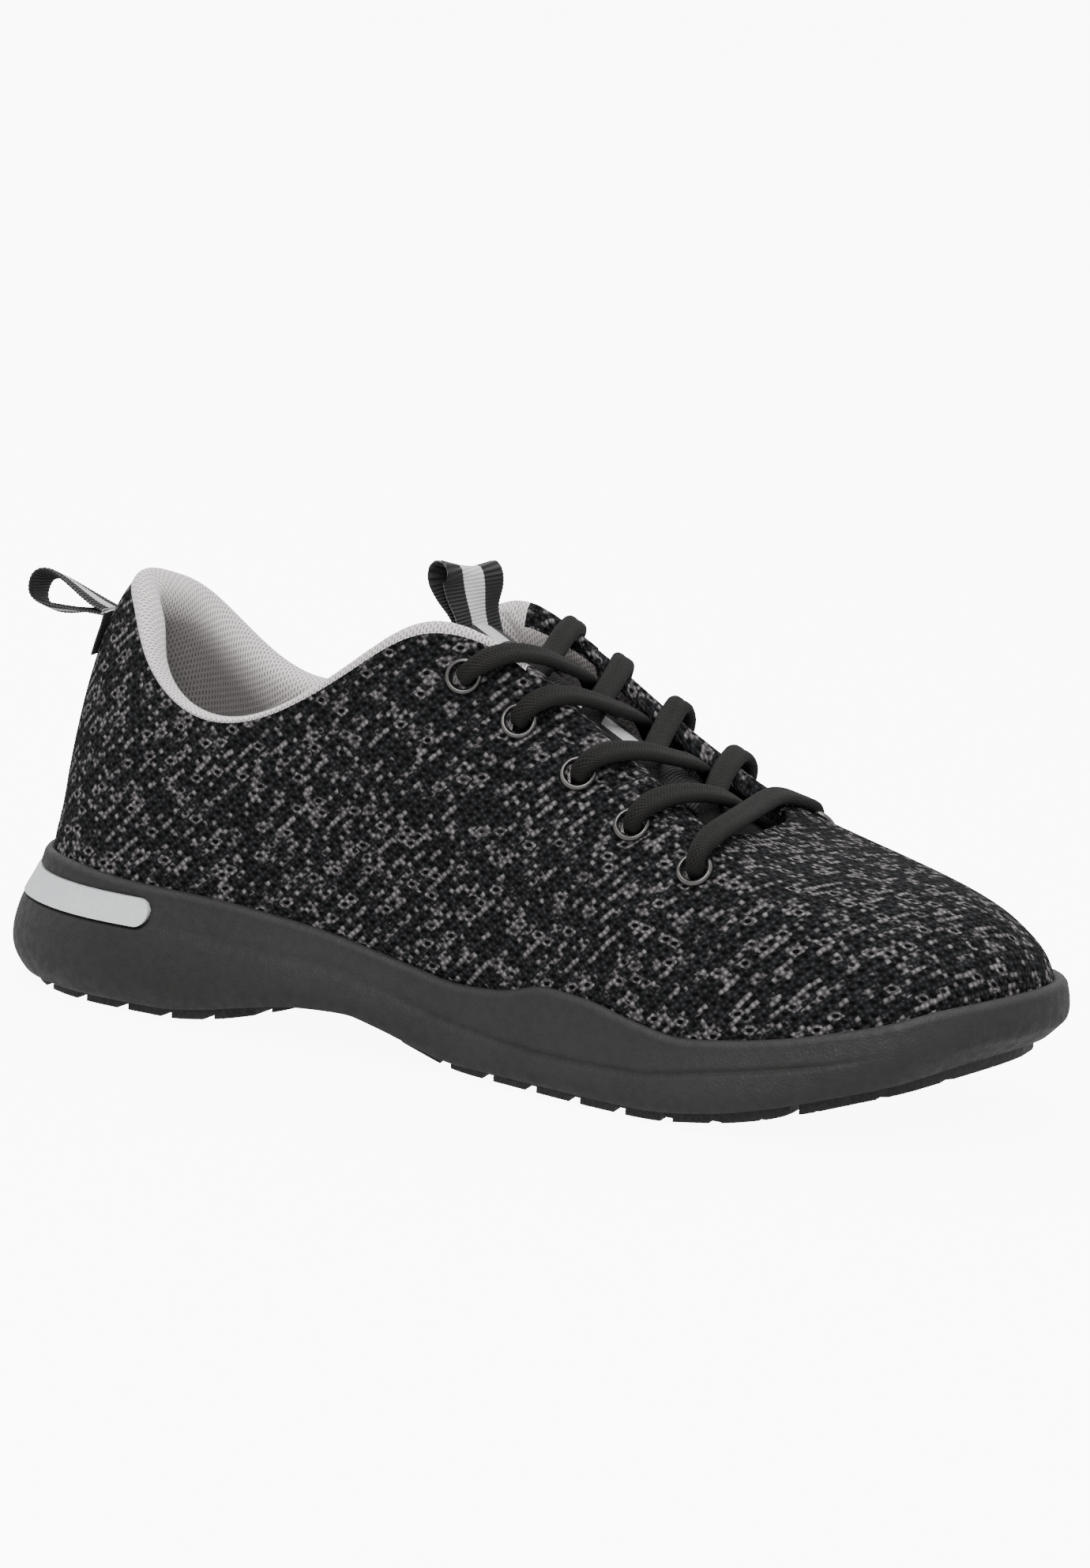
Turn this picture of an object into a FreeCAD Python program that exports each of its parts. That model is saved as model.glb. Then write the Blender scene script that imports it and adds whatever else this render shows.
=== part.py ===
"""Running shoe, right foot: knitted upper, padded collar, tongue, laces and moulded sole.

Working frame: X from the back of the heel to the toe, Y to the medial (inner) side, Z up from the ground.
Every sub-part is then placed so that the shoe's box stands centred on the origin.
"""
import FreeCAD, Part
import math
import os
from FreeCAD import Vector

doc = FreeCAD.newDocument("running_shoe")

# ---------------------------------------------------------------- driving dimensions (millimetres, degrees)
SIZES = {
    "centre_x": 133.7, "centre_y": -0.5,
    "knit_thickness": 1.4, "layer_gap": 0.1, "stiffener_thickness": 0.5, "lining_thickness": 0.8,
    "counter_thickness": 0.9, "collar_roll_height": 2.4, "binding_height": 1.0, "feather_tuck": 3.1,
    "strobel_thickness": 1.0, "insole_foam_thickness": 3.6, "insole_cover_thickness": 0.7,
    "board_inset": 3.4, "insole_inset": 3.9,
    "outsole_thickness": 1.8, "tread_drop": 1.2, "lug_height": 1.5, "lug_pitch": 13.0, "lug_groove": 3.2,
    "strip_low": 22.6, "strip_high": 29.2, "strip_end": 46.0, "strip_thickness": 1.6,
    "eyelet_bore": 5.2, "eyelet_barrel": 6.0, "eyelet_flange": 9.0, "eyelet_crown": 1.2,
    "washer_outer": 7.4, "washer_thickness": 0.45, "washer_clearance": 1.05,
    "lace_diameter": 3.6, "aglet_diameter": 4.2, "aglet_length": 20.0,
    "tongue_cover_thickness": 1.0, "tongue_foam_thickness": 3.4, "tongue_lining_thickness": 0.8,
    "tongue_arch": 0.03,
    "webbing_thickness": 0.9, "tongue_webbing_width": 16.0, "heel_webbing_width": 10.0,
    "tongue_loop_radius": 4.7, "tongue_loop_reach": 12.8, "heel_loop_radius": 4.5, "heel_loop_reach": 19.6,
}
sheet = doc.addObject("Spreadsheet::Sheet", "sizes")
for number, (alias, value) in enumerate(SIZES.items(), start=1):
    sheet.set(f"A{number}", alias)
    sheet.set(f"B{number}", str(value))
    sheet.setAlias(f"B{number}", alias)
doc.recompute()


def size(alias):
    """One driving dimension, read from the spreadsheet."""
    return float(sheet.get(alias))


KNIT = size("knit_thickness")
GAP = size("layer_gap")
STIFF = size("stiffener_thickness")
LINING = size("lining_thickness")
THIN_LINING_DEPTH = KNIT + STIFF + 3.5 * GAP

# ---------------------------------------------------------------- shape of the last
# Stations go round the shoe from the middle of the heel, along the lateral side, to the toe, and back.
# Each one: sole rim x, y, outward direction; opening edge x, y, z; lean at the rim, lower reach,
# fall angle at the opening, upper reach; padding depth at the opening and below it.
LATERAL = [
    (1.3, 0.0, 180, 19.0, 0.0, 103.0, 8, 18, 47, 19, 7.5, 10.0),
    (6.5, -17.0, 212, 24.5, -9.0, 97.0, 8, 18, 56, 15, 7.0, 9.5),
    (24.0, -28.2, 248, 32.5, -17.5, 88.0, 8, 18, 70, 13, 6.0, 8.5),
    (45.0, -31.5, 264, 43.5, -24.0, 79.8, 8, 17, 80, 12, 5.2, 7.0),
    (66.0, -32.4, 269, 58.0, -28.0, 76.0, 8, 16, 86, 12, 5.0, 6.5),
    (88.0, -32.8, 269, 76.0, -29.6, 80.5, 7, 17, 86, 14, 5.0, 6.5),
    (110.0, -33.4, 267, 97.0, -30.0, 94.0, 6, 20, 82, 20, 4.4, 4.8),
    (132.0, -35.2, 264, 117.0, -27.8, 106.0, 6, 22, 72, 24, 3.0, 2.9),
    (153.0, -38.8, 260, 136.0, -21.0, 101.5, 6, 22, 58, 22, 2.3, 2.3),
    (174.0, -43.0, 260, 150.0, -19.5, 91.3, 8, 22, 48, 20, 2.25, 2.25),
    (196.0, -46.2, 266, 165.0, -19.5, 81.7, 8, 22, 42, 18, 2.25, 2.25),
    (220.0, -46.0, 278, 180.0, -20.5, 73.0, 8, 22, 33, 18, 2.25, 2.25),
    (246.0, -39.5, 302, 190.5, -19.0, 66.8, 8, 26, 22, 22, 2.25, 2.25),
    (262.0, -25.0, 330, 197.0, -10.0, 64.2, 8, 29, 18, 29, 2.25, 2.25),
    (272.0, 3.0, 360, 198.0, 1.0, 64.2, 8, 31, 18, 32, 2.25, 2.25),
]
MEDIAL = [
    (6.5, 17.0, 148, 23.5, 10.0, 101.7, 8, 18, 56, 15, 7.0, 9.5),
    (24.0, 28.2, 112, 31.0, 19.0, 96.3, 8, 18, 70, 13, 6.0, 8.5),
    (45.0, 31.3, 96, 43.0, 25.6, 84.3, 8, 17, 80, 12, 5.2, 7.0),
    (66.0, 31.3, 91, 58.0, 28.5, 77.5, 8, 16, 86, 12, 5.0, 6.5),
    (88.0, 29.8, 91, 76.0, 29.5, 82.0, 7, 17, 86, 14, 5.0, 6.5),
    (110.0, 29.8, 93, 97.0, 29.5, 95.5, 6, 20, 82, 20, 4.4, 4.8),
    (133.0, 32.0, 97, 115.0, 27.0, 103.5, 6, 22, 72, 24, 3.0, 2.9),
    (155.0, 36.5, 101, 134.5, 20.5, 99.5, 6, 22, 58, 22, 2.3, 2.3),
    (178.0, 42.0, 98, 149.5, 20.0, 91.0, 8, 22, 48, 20, 2.25, 2.25),
    (203.0, 45.5, 91, 164.5, 20.0, 81.7, 8, 22, 42, 18, 2.25, 2.25),
    (228.0, 44.5, 81, 179.5, 21.0, 73.0, 8, 22, 33, 18, 2.25, 2.25),
    (250.0, 37.5, 58, 190.5, 20.0, 67.0, 8, 26, 23, 21, 2.25, 2.25),
    (265.5, 23.0, 30, 197.0, 12.0, 64.2, 8, 29, 19, 28, 2.25, 2.25),
]
STATIONS = LATERAL + MEDIAL[::-1]
COUNT = len(STATIONS)
TOE = len(LATERAL) - 1
HEEL_AGAIN = COUNT
CORNER = 8                      # the station where the collar meets the throat

# Heights along the shoe: the sole's rim, the footbed, the groove in the side wall and the tread's edge.
RIM_LINE = [(-20, 34), (12, 34), (37, 32.5), (62, 31.8), (90, 29.3), (108, 26.2), (120, 23.8), (134, 21.7),
            (145, 22.4), (161, 26), (172, 25.4), (187, 22.5), (199, 20.9), (212, 22.3), (225, 24.4),
            (238, 27.3), (250, 30.3), (262, 34), (300, 38)]
FOOT_LINE = [(-20, 27), (60, 26), (90, 24), (110, 21.5), (134, 18.5), (160, 16), (185, 14.5), (205, 14.7),
             (225, 17), (245, 21.5), (262, 26.5), (300, 33)]
GROOVE_LINE = [(-20, 24), (46, 23.7), (80, 21.7), (96, 20.8), (111, 18), (127, 14.1), (137, 12.3),
               (162, 10.6), (187, 11.3), (209, 14.8), (225, 17.8), (236, 19.9), (257, 24.8), (300, 29)]
TREAD_LINE = [(-20, 3.2), (10, 1.2), (50, 1.2), (62, 2.6), (75, 5.2), (90, 7.6), (104, 8.2), (112, 6.5),
              (125, 3.2), (137, 1.2), (190, 1.2), (210, 3.4), (225, 6.6), (240, 10.8), (252, 14.2),
              (262, 17.8), (300, 27)]


def smooth_line(points):
    """A monotone cubic through the points, as a function of x."""
    xs = [p[0] for p in points]
    ys = [p[1] for p in points]
    steps = [xs[i + 1] - xs[i] for i in range(len(xs) - 1)]
    rises = [(ys[i + 1] - ys[i]) / steps[i] for i in range(len(steps))]
    slopes = [rises[0]]
    for i in range(1, len(steps)):
        if rises[i - 1] * rises[i] <= 0:
            slopes.append(0.0)
        else:
            near = 2 * steps[i] + steps[i - 1]
            far = steps[i] + 2 * steps[i - 1]
            slopes.append((near + far) / (near / rises[i - 1] + far / rises[i]))
    slopes.append(rises[-1])

    def height(x):
        x = min(max(x, xs[0]), xs[-1])
        i = max(k for k in range(len(steps)) if xs[k] <= x)
        f = (x - xs[i]) / steps[i]
        return ((2 * f**3 - 3 * f**2 + 1) * ys[i] + (f**3 - 2 * f**2 + f) * steps[i] * slopes[i]
                + (3 * f**2 - 2 * f**3) * ys[i + 1] + (f**3 - f**2) * steps[i] * slopes[i + 1])
    return height


rim_height = smooth_line(RIM_LINE)
foot_height = smooth_line(FOOT_LINE)
groove_height = smooth_line(GROOVE_LINE)
tread_height = smooth_line(TREAD_LINE)


# ---------------------------------------------------------------- surfaces on the stations
def across(degrees):
    """The level direction that points out of the shoe at a station."""
    turn = math.radians(degrees)
    return Vector(math.cos(turn), math.sin(turn), 0)


def upper_column(station, depths):
    """Four control points of the upper at a station, sunk by a depth at each point."""
    rim_x, rim_y, facing, x, y, z, lean, low_reach, fall, high_reach = station[:10]
    out = across(facing)
    up = Vector(0, 0, 1)
    lean, fall = math.radians(lean), math.radians(fall)
    foot = Vector(rim_x, rim_y, 0) - out * size("feather_tuck")
    foot.z = foot_height(foot.x)
    edge = Vector(x, y, z)
    low = foot + (out * math.sin(lean) + up * math.cos(lean)) * low_reach
    high = edge + (out * math.cos(fall) - up * math.sin(fall)) * high_reach
    low_normal = out * math.cos(lean) - up * math.sin(lean)
    high_normal = out * math.sin(fall) + up * math.cos(fall)
    leg = high - low
    middle_normal = out * leg.z - up * leg.dot(out)
    middle_normal.normalize()
    at_low = (low_normal + middle_normal) * (1 / (1 + low_normal.dot(middle_normal)))
    at_high = (middle_normal + high_normal) * (1 / (1 + middle_normal.dot(high_normal)))
    return [foot - low_normal * depths[0], low - at_low * depths[1],
            high - at_high * depths[2], edge - high_normal * depths[3]]


def upper_layer(depth):
    """The upper's surface, sunk by a depth; a function gives the depths for each station."""
    if not callable(depth):
        return [upper_column(station, [depth] * 4) for station in STATIONS]
    return [upper_column(station, depth(station)) for station in STATIONS]


def closed_controls(points):
    """Control points of the closed uniform cubic that passes through the points."""
    controls = list(points)
    for _ in range(60):
        for i in range(len(points)):
            controls[i] = (points[i] * 6 - controls[i - 1] - controls[(i + 1) % len(points)]) * 0.25
    return controls


def ring_patch(columns, first, last, low=0.0, high=1.0):
    """A patch of the closed surface on the station columns, from station first to station last."""
    rows = [closed_controls([column[j] for column in columns]) for j in range(len(columns[0]))]
    start = math.floor(first)
    poles = [[row[(start - 1 + i) % COUNT] for row in rows] for i in range(COUNT)]
    spans = len(rows) - 3
    heights = [i / spans for i in range(spans + 1)]
    surface = Part.BSplineSurface()
    surface.buildFromPolesMultsKnots(poles, [1] * (COUNT + 1), [4] + [1] * (spans - 1) + [4],
                                     [float(i) for i in range(COUNT + 1)], heights, True, False, 3, 3)
    surface.setUNotPeriodic()
    surface.segment(first - start, last - start, low, high)
    return surface


def sheet_patch(grid):
    """A clamped cubic surface that follows the control points of an open grid."""
    def ends(points):
        inner = points - 3
        return [4] + [1] * (inner - 1) + [4], [i / inner for i in range(inner + 1)]
    u_mults, u_knots = ends(len(grid))
    v_mults, v_knots = ends(len(grid[0]))
    surface = Part.BSplineSurface()
    surface.buildFromPolesMultsKnots(grid, u_mults, v_mults, u_knots, v_knots, False, False, 3, 3)
    return surface


def sewn_solid(faces):
    """One closed solid from faces that meet along their edges."""
    shell = Part.makeShell([face for shape in faces for face in shape.Faces])
    shell.sewShape()
    solid = Part.makeSolid(shell)
    if solid.Volume < 0:
        solid.reverse()
    return solid


def between(outer, inner, close_ends=True):
    """Faces of the slab between two surfaces with the same parameters."""
    u0, u1, v0, v1 = outer.bounds()
    p0, p1, q0, q1 = inner.bounds()
    faces = [outer.toShape(), inner.toShape()]
    faces.append(Part.makeRuledSurface(outer.vIso(v0).toShape(), inner.vIso(q0).toShape()))
    faces.append(Part.makeRuledSurface(outer.vIso(v1).toShape(), inner.vIso(q1).toShape()))
    if close_ends:
        faces.append(Part.makeRuledSurface(outer.uIso(u0).toShape(), inner.uIso(p0).toShape()))
        faces.append(Part.makeRuledSurface(outer.uIso(u1).toShape(), inner.uIso(p1).toShape()))
    return faces


def layer_patch(outer, inner, first, last, low, high):
    """A sheet of material between two layers, over part of the upper."""
    return sewn_solid(between(ring_patch(outer, first, last, low, high),
                              ring_patch(inner, first, last, low, high)))


def layer_ring(outer, inner, low=0.0, high=1.0):
    """A sheet of material between two layers, right round the upper."""
    faces = []
    for first, last in ((0, TOE), (TOE, HEEL_AGAIN)):
        faces += between(ring_patch(outer, first, last, low, high),
                         ring_patch(inner, first, last, low, high), close_ends=False)
    return sewn_solid(faces)


def wall_solid(columns):
    """The solid inside a closed wall whose top and bottom edges are level."""
    halves = [ring_patch(columns, 0, TOE), ring_patch(columns, TOE, HEEL_AGAIN)]
    faces = [half.toShape() for half in halves]
    for end in (0.0, 1.0):
        wire = Part.Wire([half.vIso(end).toShape() for half in halves])
        faces.append(Part.Face(wire))
    return sewn_solid(faces)


def side_prism(top_line, bottom_line, top_shift=0.0, bottom_shift=0.0):
    """A block across the shoe between two height lines."""
    def edge(line, shift):
        height = smooth_line(line)
        xs = [-20 + 8 * i for i in range(41)]
        curve = Part.BSplineCurve()
        curve.interpolate([Vector(x, -80, height(x) + shift) for x in xs])
        return curve.toShape()
    top, bottom = edge(top_line, top_shift), edge(bottom_line, bottom_shift)
    ends = [Part.makeLine(top.Vertexes[k].Point, bottom.Vertexes[k].Point) for k in (0, 1)]
    face = Part.Face(Part.Wire([top, ends[1], bottom, ends[0]]))
    return face.extrude(Vector(0, 160, 0))


def board(inset, low_shift, high_shift):
    """A board with the footbed's outline and curve, between two heights above the footbed."""
    points = []
    for station in STATIONS:
        out = across(station[2])
        foot = Vector(station[0], station[1], 0) - out * (size("feather_tuck") + inset)
        points.append(Vector(foot.x, foot.y, 0))
    curve = Part.BSplineCurve()
    curve.interpolate(Points=points, PeriodicFlag=True)
    prism = Part.Face(Part.Wire(curve.toShape())).extrude(Vector(0, 0, 80))
    return prism.common(side_prism(FOOT_LINE, FOOT_LINE, high_shift, low_shift))


def on_upper(where, height, lift=0.0):
    """A point on the upper and the outward direction there, at a station position and height."""
    patch = ring_patch(upper_layer(0.0), where - 0.5, where + 0.5)
    middle = patch.bounds()[0] + 0.5
    normal = patch.normal(middle, height)
    point = patch.value(middle, height)
    centre = Vector(point.x, 0, 40)
    if normal.dot(point - centre) < 0:
        normal = normal * -1
    return point + normal * lift, normal


# ---------------------------------------------------------------- document objects
KEPT = []


def keep(item, label):
    """Names a sub-part, sets it on the object's own origin and lists it for export."""
    item.Label = label
    item.setExpression("Placement.Base.x", f"{item.Placement.Base.x} - sizes.centre_x")
    item.setExpression("Placement.Base.y", f"{item.Placement.Base.y} - sizes.centre_y")
    KEPT.append(item)
    return item


def shaped(label, shape):
    """A sub-part whose shape is worked out above."""
    item = doc.addObject("Part::Feature", label)
    item.Shape = shape.Solids[0] if len(shape.Solids) == 1 else Part.makeCompound(shape.Solids)
    return keep(item, label)


def pieces_of(shapes):
    """Separate solids of one sub-part."""
    return Part.makeCompound([solid for shape in shapes for solid in shape.Solids])


def origin_plane(body, role):
    return [item for item in body.Origin.OriginFeatures if item.Role == role][0]


def new_sketch(body, name, role="XZ_Plane"):
    sketch = body.newObject("Sketcher::SketchObject", name)
    sketch.AttachmentSupport = [(origin_plane(body, role), "")]
    sketch.MapMode = "FlatFace"
    return sketch


def turned_body(name, outline):
    """A body turned about Z from an outline of (radius, height) corners."""
    body = doc.addObject("PartDesign::Body", name)
    sketch = new_sketch(body, name + "_outline")
    corners = [Vector(radius, height, 0) for radius, height in outline]
    for start, end in zip(corners, corners[1:] + corners[:1]):
        sketch.addGeometry(Part.LineSegment(start, end))
    turn = body.newObject("PartDesign::Revolution", name + "_turn")
    turn.Profile = sketch
    turn.ReferenceAxis = (sketch, ["V_Axis"])
    turn.Angle = 360
    return body


# ---------------------------------------------------------------- sole
def side_wall(shift):
    """Columns of the midsole's side wall, grown outward by a shift."""
    columns = []
    for station in STATIONS:
        rim = Vector(station[0], station[1], 0)
        out = across(station[2])
        rim_z, groove_z, tread_z = rim_height(rim.x), groove_height(rim.x), tread_height(rim.x)
        flare = min(max(1 - rim.x / 110, 0), 1)
        belly, shoulder = 0.3 * groove_z + 0.7 * tread_z, 0.78 * groove_z + 0.22 * tread_z
        outline = [(-6, -25), (-4, tread_z - 8), (1 + 1.5 * flare, tread_z - 1), (5.2 + 4.5 * flare, belly),
                   (3.8 + 3.5 * flare, shoulder), (3.0 + 2.0 * flare, groove_z),
                   (1.6 + 0.4 * flare, 0.5 * (groove_z + rim_z)), (0.5, rim_z), (0.3, rim_z + 6), (0.0, 60)]
        columns.append([rim + out * (reach + shift) + Vector(0, 0, z) for reach, z in outline])
    return columns


def foot_well():
    """Columns of the hollow in the midsole that holds the upper."""
    columns = []
    for station in STATIONS:
        out = across(station[2])
        foot = Vector(station[0], station[1], 0) - out * (size("feather_tuck") - 0.35)
        z = foot_height(foot.x)
        lean = math.tan(math.radians(station[6]))
        levels = [-25, z - 6, z, z + 8, z + 20, 70]
        columns.append([foot + out * (lean * min(max(level - z, 0), 20)) + Vector(0, 0, level)
                        for level in levels])
    return columns


def make_sole():
    wall = wall_solid(side_wall(0.0))
    block = wall.common(side_prism(RIM_LINE, TREAD_LINE, 0.0, size("outsole_thickness")))
    well = wall_solid(foot_well()).common(side_prism([(-20, 75), (300, 75)], FOOT_LINE))
    low, high, end = size("strip_low"), size("strip_high"), size("strip_end")
    radius = (high - low) / 2
    slot = Part.makeBox(end - radius + 20, 160, high - low, Vector(-20, -80, low))
    slot = slot.fuse(Part.makeCylinder(radius, 160, Vector(end - radius, -80, low + radius), Vector(0, 1, 0)))
    slot = slot.removeSplitter()
    core = wall_solid(side_wall(-size("strip_thickness")))
    midsole = block.cut(well).cut(slot.cut(core))
    strip = wall_solid(side_wall(0.3)).common(slot).cut(core)
    shaped("midsole", midsole)
    shaped("heel_strip", strip)


def tread_pad(outline, grooves):
    """A rubber pad under the sole; outline is (x, y) corners, grooves are (x, y, turn, length)."""
    corners = [Vector(x, y, -10) for x, y in outline]
    curve = Part.BSplineCurve()
    curve.interpolate(Points=corners, PeriodicFlag=True)
    prism = Part.Face(Part.Wire(curve.toShape())).extrude(Vector(0, 0, 60))
    pad = prism.common(side_prism(TREAD_LINE, TREAD_LINE, size("outsole_thickness"), -size("tread_drop")))
    pad = pad.cut(Part.makeBox(340, 160, 20, Vector(-20, -80, -20)))
    half = size("lug_groove") / 2
    cutters = []
    for x, y, turn, length in grooves:
        top = tread_height(x) + size("lug_height") - size("tread_drop")
        cutter = Part.makeBox(2 * half, length, 20, Vector(-half, -length / 2, top - 20))
        cutter.rotate(Vector(0, 0, 0), Vector(0, 0, 1), turn)
        cutter.translate(Vector(x, y, 0))
        cutters.append(cutter)
    return pad.cut(cutters)


def make_outsole():
    pitch = size("lug_pitch")
    heel_grooves = [(12 + pitch * i, 0, 0, 90) for i in range(6)]
    heel_grooves += [(18.5 + pitch * i, 0, 90, pitch + 2) for i in range(4)]
    fore_grooves = [(126 + pitch * i, 0, 8, 120) for i in range(12)]
    fore_grooves += [(132.5 + pitch * i, y, 90, pitch + 2) for i in range(10) for y in (-24, 22)]
    shaped("outsole_heel", tread_pad(
        [(0, 0), (7, -19), (26, -29.5), (52, -32), (76, -30), (82, -20), (70, -12), (58, 0), (70, 12),
         (82, 20), (76, 28), (52, 31), (26, 29.5), (7, 19)], heel_grooves))
    shaped("outsole_forefoot_lateral", tread_pad(
        [(118, -31), (150, -38), (180, -44.5), (210, -47), (226, -44), (226, -30), (222, -4), (200, -3),
         (165, -5), (135, -10), (120, -18)], fore_grooves))
    shaped("outsole_forefoot_medial", tread_pad(
        [(122, 14), (140, 5), (165, 1), (200, 3), (220, 4), (226, 30), (226, 43), (205, 46), (180, 42.5),
         (155, 36), (130, 29)], fore_grooves))
    shaped("outsole_toe", tread_pad(
        [(230, -41), (230, -20), (229, 0), (230, 20), (231, 41), (246, 37), (261, 22), (267, 4), (260, -21),
         (248, -33)], fore_grooves))


def make_boards():
    strobel = size("strobel_thickness")
    foam_top = strobel + size("insole_foam_thickness")
    shaped("strobel_board", board(size("board_inset"), 0.05, strobel))
    shaped("insole_foam", board(size("insole_inset"), strobel + 0.05, foam_top))
    cover_top = foam_top + size("insole_cover_thickness")
    shaped("insole_cover", board(size("insole_inset"), foam_top + 0.05, cover_top))


# ---------------------------------------------------------------- upper
# Eyelets from the ankle to the toe: station position and height on the upper, for the lateral side.
EYELETS = [(7.5, 0.87), (8.35, 0.825), (9.5, 0.81), (10.35, 0.75), (11.25, 0.69)]


def eyelet_places(side):
    """Places of a side's eyelets, with Z along each bore."""
    places = []
    for where, height in EYELETS:
        where = where if side == "lateral" else COUNT - where
        point, normal = on_upper(where, height)
        places.append(FreeCAD.Placement(point, FreeCAD.Rotation(Vector(0, 0, 1), normal)))
    return places


PLACES = {side: eyelet_places(side) for side in ("lateral", "medial")}


def pierced(shape):
    """The shape with a hole for the barrel of every eyelet."""
    for places in PLACES.values():
        for place in places:
            hole = Part.makeCylinder(size("eyelet_barrel") / 2 + 0.05, 16, Vector(0, 0, -9))
            hole.Placement = place
            if hole.BoundBox.intersect(shape.BoundBox):
                shape = shape.cut(hole)
    return shape


def padding(extra):
    """Depths for the face of the lining that touches the padding, plus a layer."""
    def depths(station):
        at_edge, below = station[10:12]
        return [THIN_LINING_DEPTH + extra, THIN_LINING_DEPTH + extra, below + extra, at_edge + extra]
    return depths


def make_upper():
    knit = upper_layer(0.0)
    knit_back = upper_layer(KNIT)
    lining_face = upper_layer(padding(0.0))
    lining_back = upper_layer(padding(LINING))
    shaped("knit_upper", pierced(layer_ring(knit, knit_back)))
    stiff_face, stiff_back = upper_layer(KNIT + GAP), upper_layer(KNIT + GAP + STIFF)
    for side, first, last in (("lateral", 7.15, 12.2), ("medial", COUNT - 12.2, COUNT - 7.15)):
        shaped("eyestay_" + side, pierced(layer_patch(stiff_face, stiff_back, first, last, 0.56, 0.985)))
    shaped("toe_puff", layer_patch(stiff_face, stiff_back, TOE - 3, TOE + 3, 0.05, 0.42))
    shaped("heel_counter", layer_patch(stiff_face, stiff_back, COUNT - 4.5, COUNT + 4.5, 0.05, 0.5))
    foam_face, foam_back = upper_layer(KNIT + GAP), upper_layer(padding(-GAP))
    shaped("collar_foam", layer_patch(foam_face, foam_back, COUNT - 7, COUNT + 7, 0.53, 0.97))
    collar, throat = (COUNT - CORNER, COUNT + CORNER), (CORNER + 0.02, COUNT - CORNER - 0.02)
    shaped("collar_lining", pierced(layer_patch(lining_face, lining_back, *collar, 0.03, 0.99)))
    shaped("vamp_lining", pierced(layer_patch(lining_face, lining_back, *throat, 0.03, 0.99)))
    shaped("collar_binding", edge_roll(*collar, size("collar_roll_height"), 0.5, 0.7))
    shaped("throat_binding", edge_roll(*throat, size("binding_height"), 0.4, 0.2))


def edge_roll(first, last, full_height, proud, inner_proud):
    """The rolled strip that closes the opening's edge over all the layers."""
    columns = []
    for station in STATIONS:
        height = full_height * min(1, 0.35 + station[10] / 7)
        knit = upper_column(station, [0.0] * 4)
        deep = upper_column(station, padding(LINING)(station))
        top, inner = knit[3], deep[3]
        rise = knit[3] - knit[2]
        rise.normalize()
        out = top - inner
        out.normalize()
        start = top + rise * 0.08 + out * (proud * 0.4)
        end = inner + rise * 0.08 - out * (inner_proud * 0.4)
        columns.append([start, start + out * proud + rise * (0.6 * height),
                        start - out * 0.2 + rise * (1.25 * height), end + out * 0.2 + rise * (1.25 * height),
                        end - out * inner_proud + rise * (0.6 * height), end])
    dome = ring_patch(columns, first, last)
    u0, u1, v0, v1 = dome.bounds()
    faces = [dome.toShape(), Part.makeRuledSurface(dome.vIso(v0).toShape(), dome.vIso(v1).toShape())]
    faces += [end_cap(dome.uIso(u).toShape()) for u in (u0, u1)]
    return sewn_solid(faces)


def end_cap(arch):
    """The face that closes a roll's end."""
    chord = Part.makeLine(arch.Vertexes[-1].Point, arch.Vertexes[0].Point)
    return Part.makeFilledFace(Part.Wire([arch, chord]).Edges)


# ---------------------------------------------------------------- eyelets
def make_eyelets():
    bore, barrel = size("eyelet_bore") / 2, size("eyelet_barrel") / 2
    flange, crown = size("eyelet_flange") / 2, size("eyelet_crown")
    washer_top = -(THIN_LINING_DEPTH + LINING + size("washer_clearance"))
    washer_low = washer_top - size("washer_thickness")
    eyelet = turned_body("eyelet_shape", [
        (bore, 0.5 * crown), (bore + 0.5, crown), (flange - 0.6, crown), (flange, 0.55 * crown),
        (flange, 0.2), (barrel, 0.2), (barrel, washer_low), (bore, washer_low)])
    washer = turned_body("washer_shape", [
        (barrel + 0.03, washer_top), (size("washer_outer") / 2, washer_top),
        (size("washer_outer") / 2, washer_low), (barrel + 0.03, washer_low)])
    doc.recompute()
    for side, places in PLACES.items():
        for name, body in (("eyelets_", eyelet), ("eyelet_washers_", washer)):
            copies = []
            for place in places:
                copy = body.Shape.copy()
                copy.Placement = place
                copies.append(copy)
            shaped(name + side, pieces_of(copies))


# ---------------------------------------------------------------- tongue
# The middle of the tongue's upper face from its base to its top: x, z, half width, share of full padding.
TONGUE = [(204, 55.5, 17, 0.25), (196, 60.0, 19, 0.4), (182, 68.5, 21, 0.7), (166, 76.2, 22.5, 1.0),
          (150, 84.5, 22.5, 1.0), (134, 93.5, 21, 1.0), (122, 100.0, 19.5, 1.0), (116, 103.2, 18.5, 0.9),
          (114.5, 104.0, 17, 0.7)]


# Control values, for six points over 0 to 3, that make a clamped cubic follow a line and its square exactly.
PARABOLA = [(0, 0), (1 / 3, 0), (1, 2 / 3), (2, 11 / 3), (8 / 3, 7), (3, 9)]


def tongue_grid(depth, pad, inset=0.0, half_width=None, rows=TONGUE):
    """Control points of one face of the tongue: a fixed depth plus a share of the padding."""
    grid = []
    for i, (x, z, width, share) in enumerate(rows):
        before, after = rows[max(i - 1, 0)], rows[min(i + 1, len(rows) - 1)]
        along = Vector(after[0] - before[0], 0, after[1] - before[1])
        along.normalize()
        normal = Vector(along.z, 0, -along.x)
        half = half_width or width - inset
        row = []
        for place, square in PARABOLA:
            y = half * (2 * place / 3 - 1)
            y_squared = half**2 * (4 * square / 9 - 4 * place / 3 + 1)
            sunk = depth + pad * share * (1 - 0.6 * y_squared / width**2)
            row.append(Vector(x, y, z - size("tongue_arch") * y_squared) - normal * sunk)
        grid.append(row)
    return grid


def tongue_layer(label, top, low, **shape):
    """One layer of the tongue; top and low are (depth, padding) of its two faces."""
    shaped(label, sewn_solid(between(sheet_patch(tongue_grid(*top, **shape)),
                                     sheet_patch(tongue_grid(*low, **shape)))))


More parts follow.
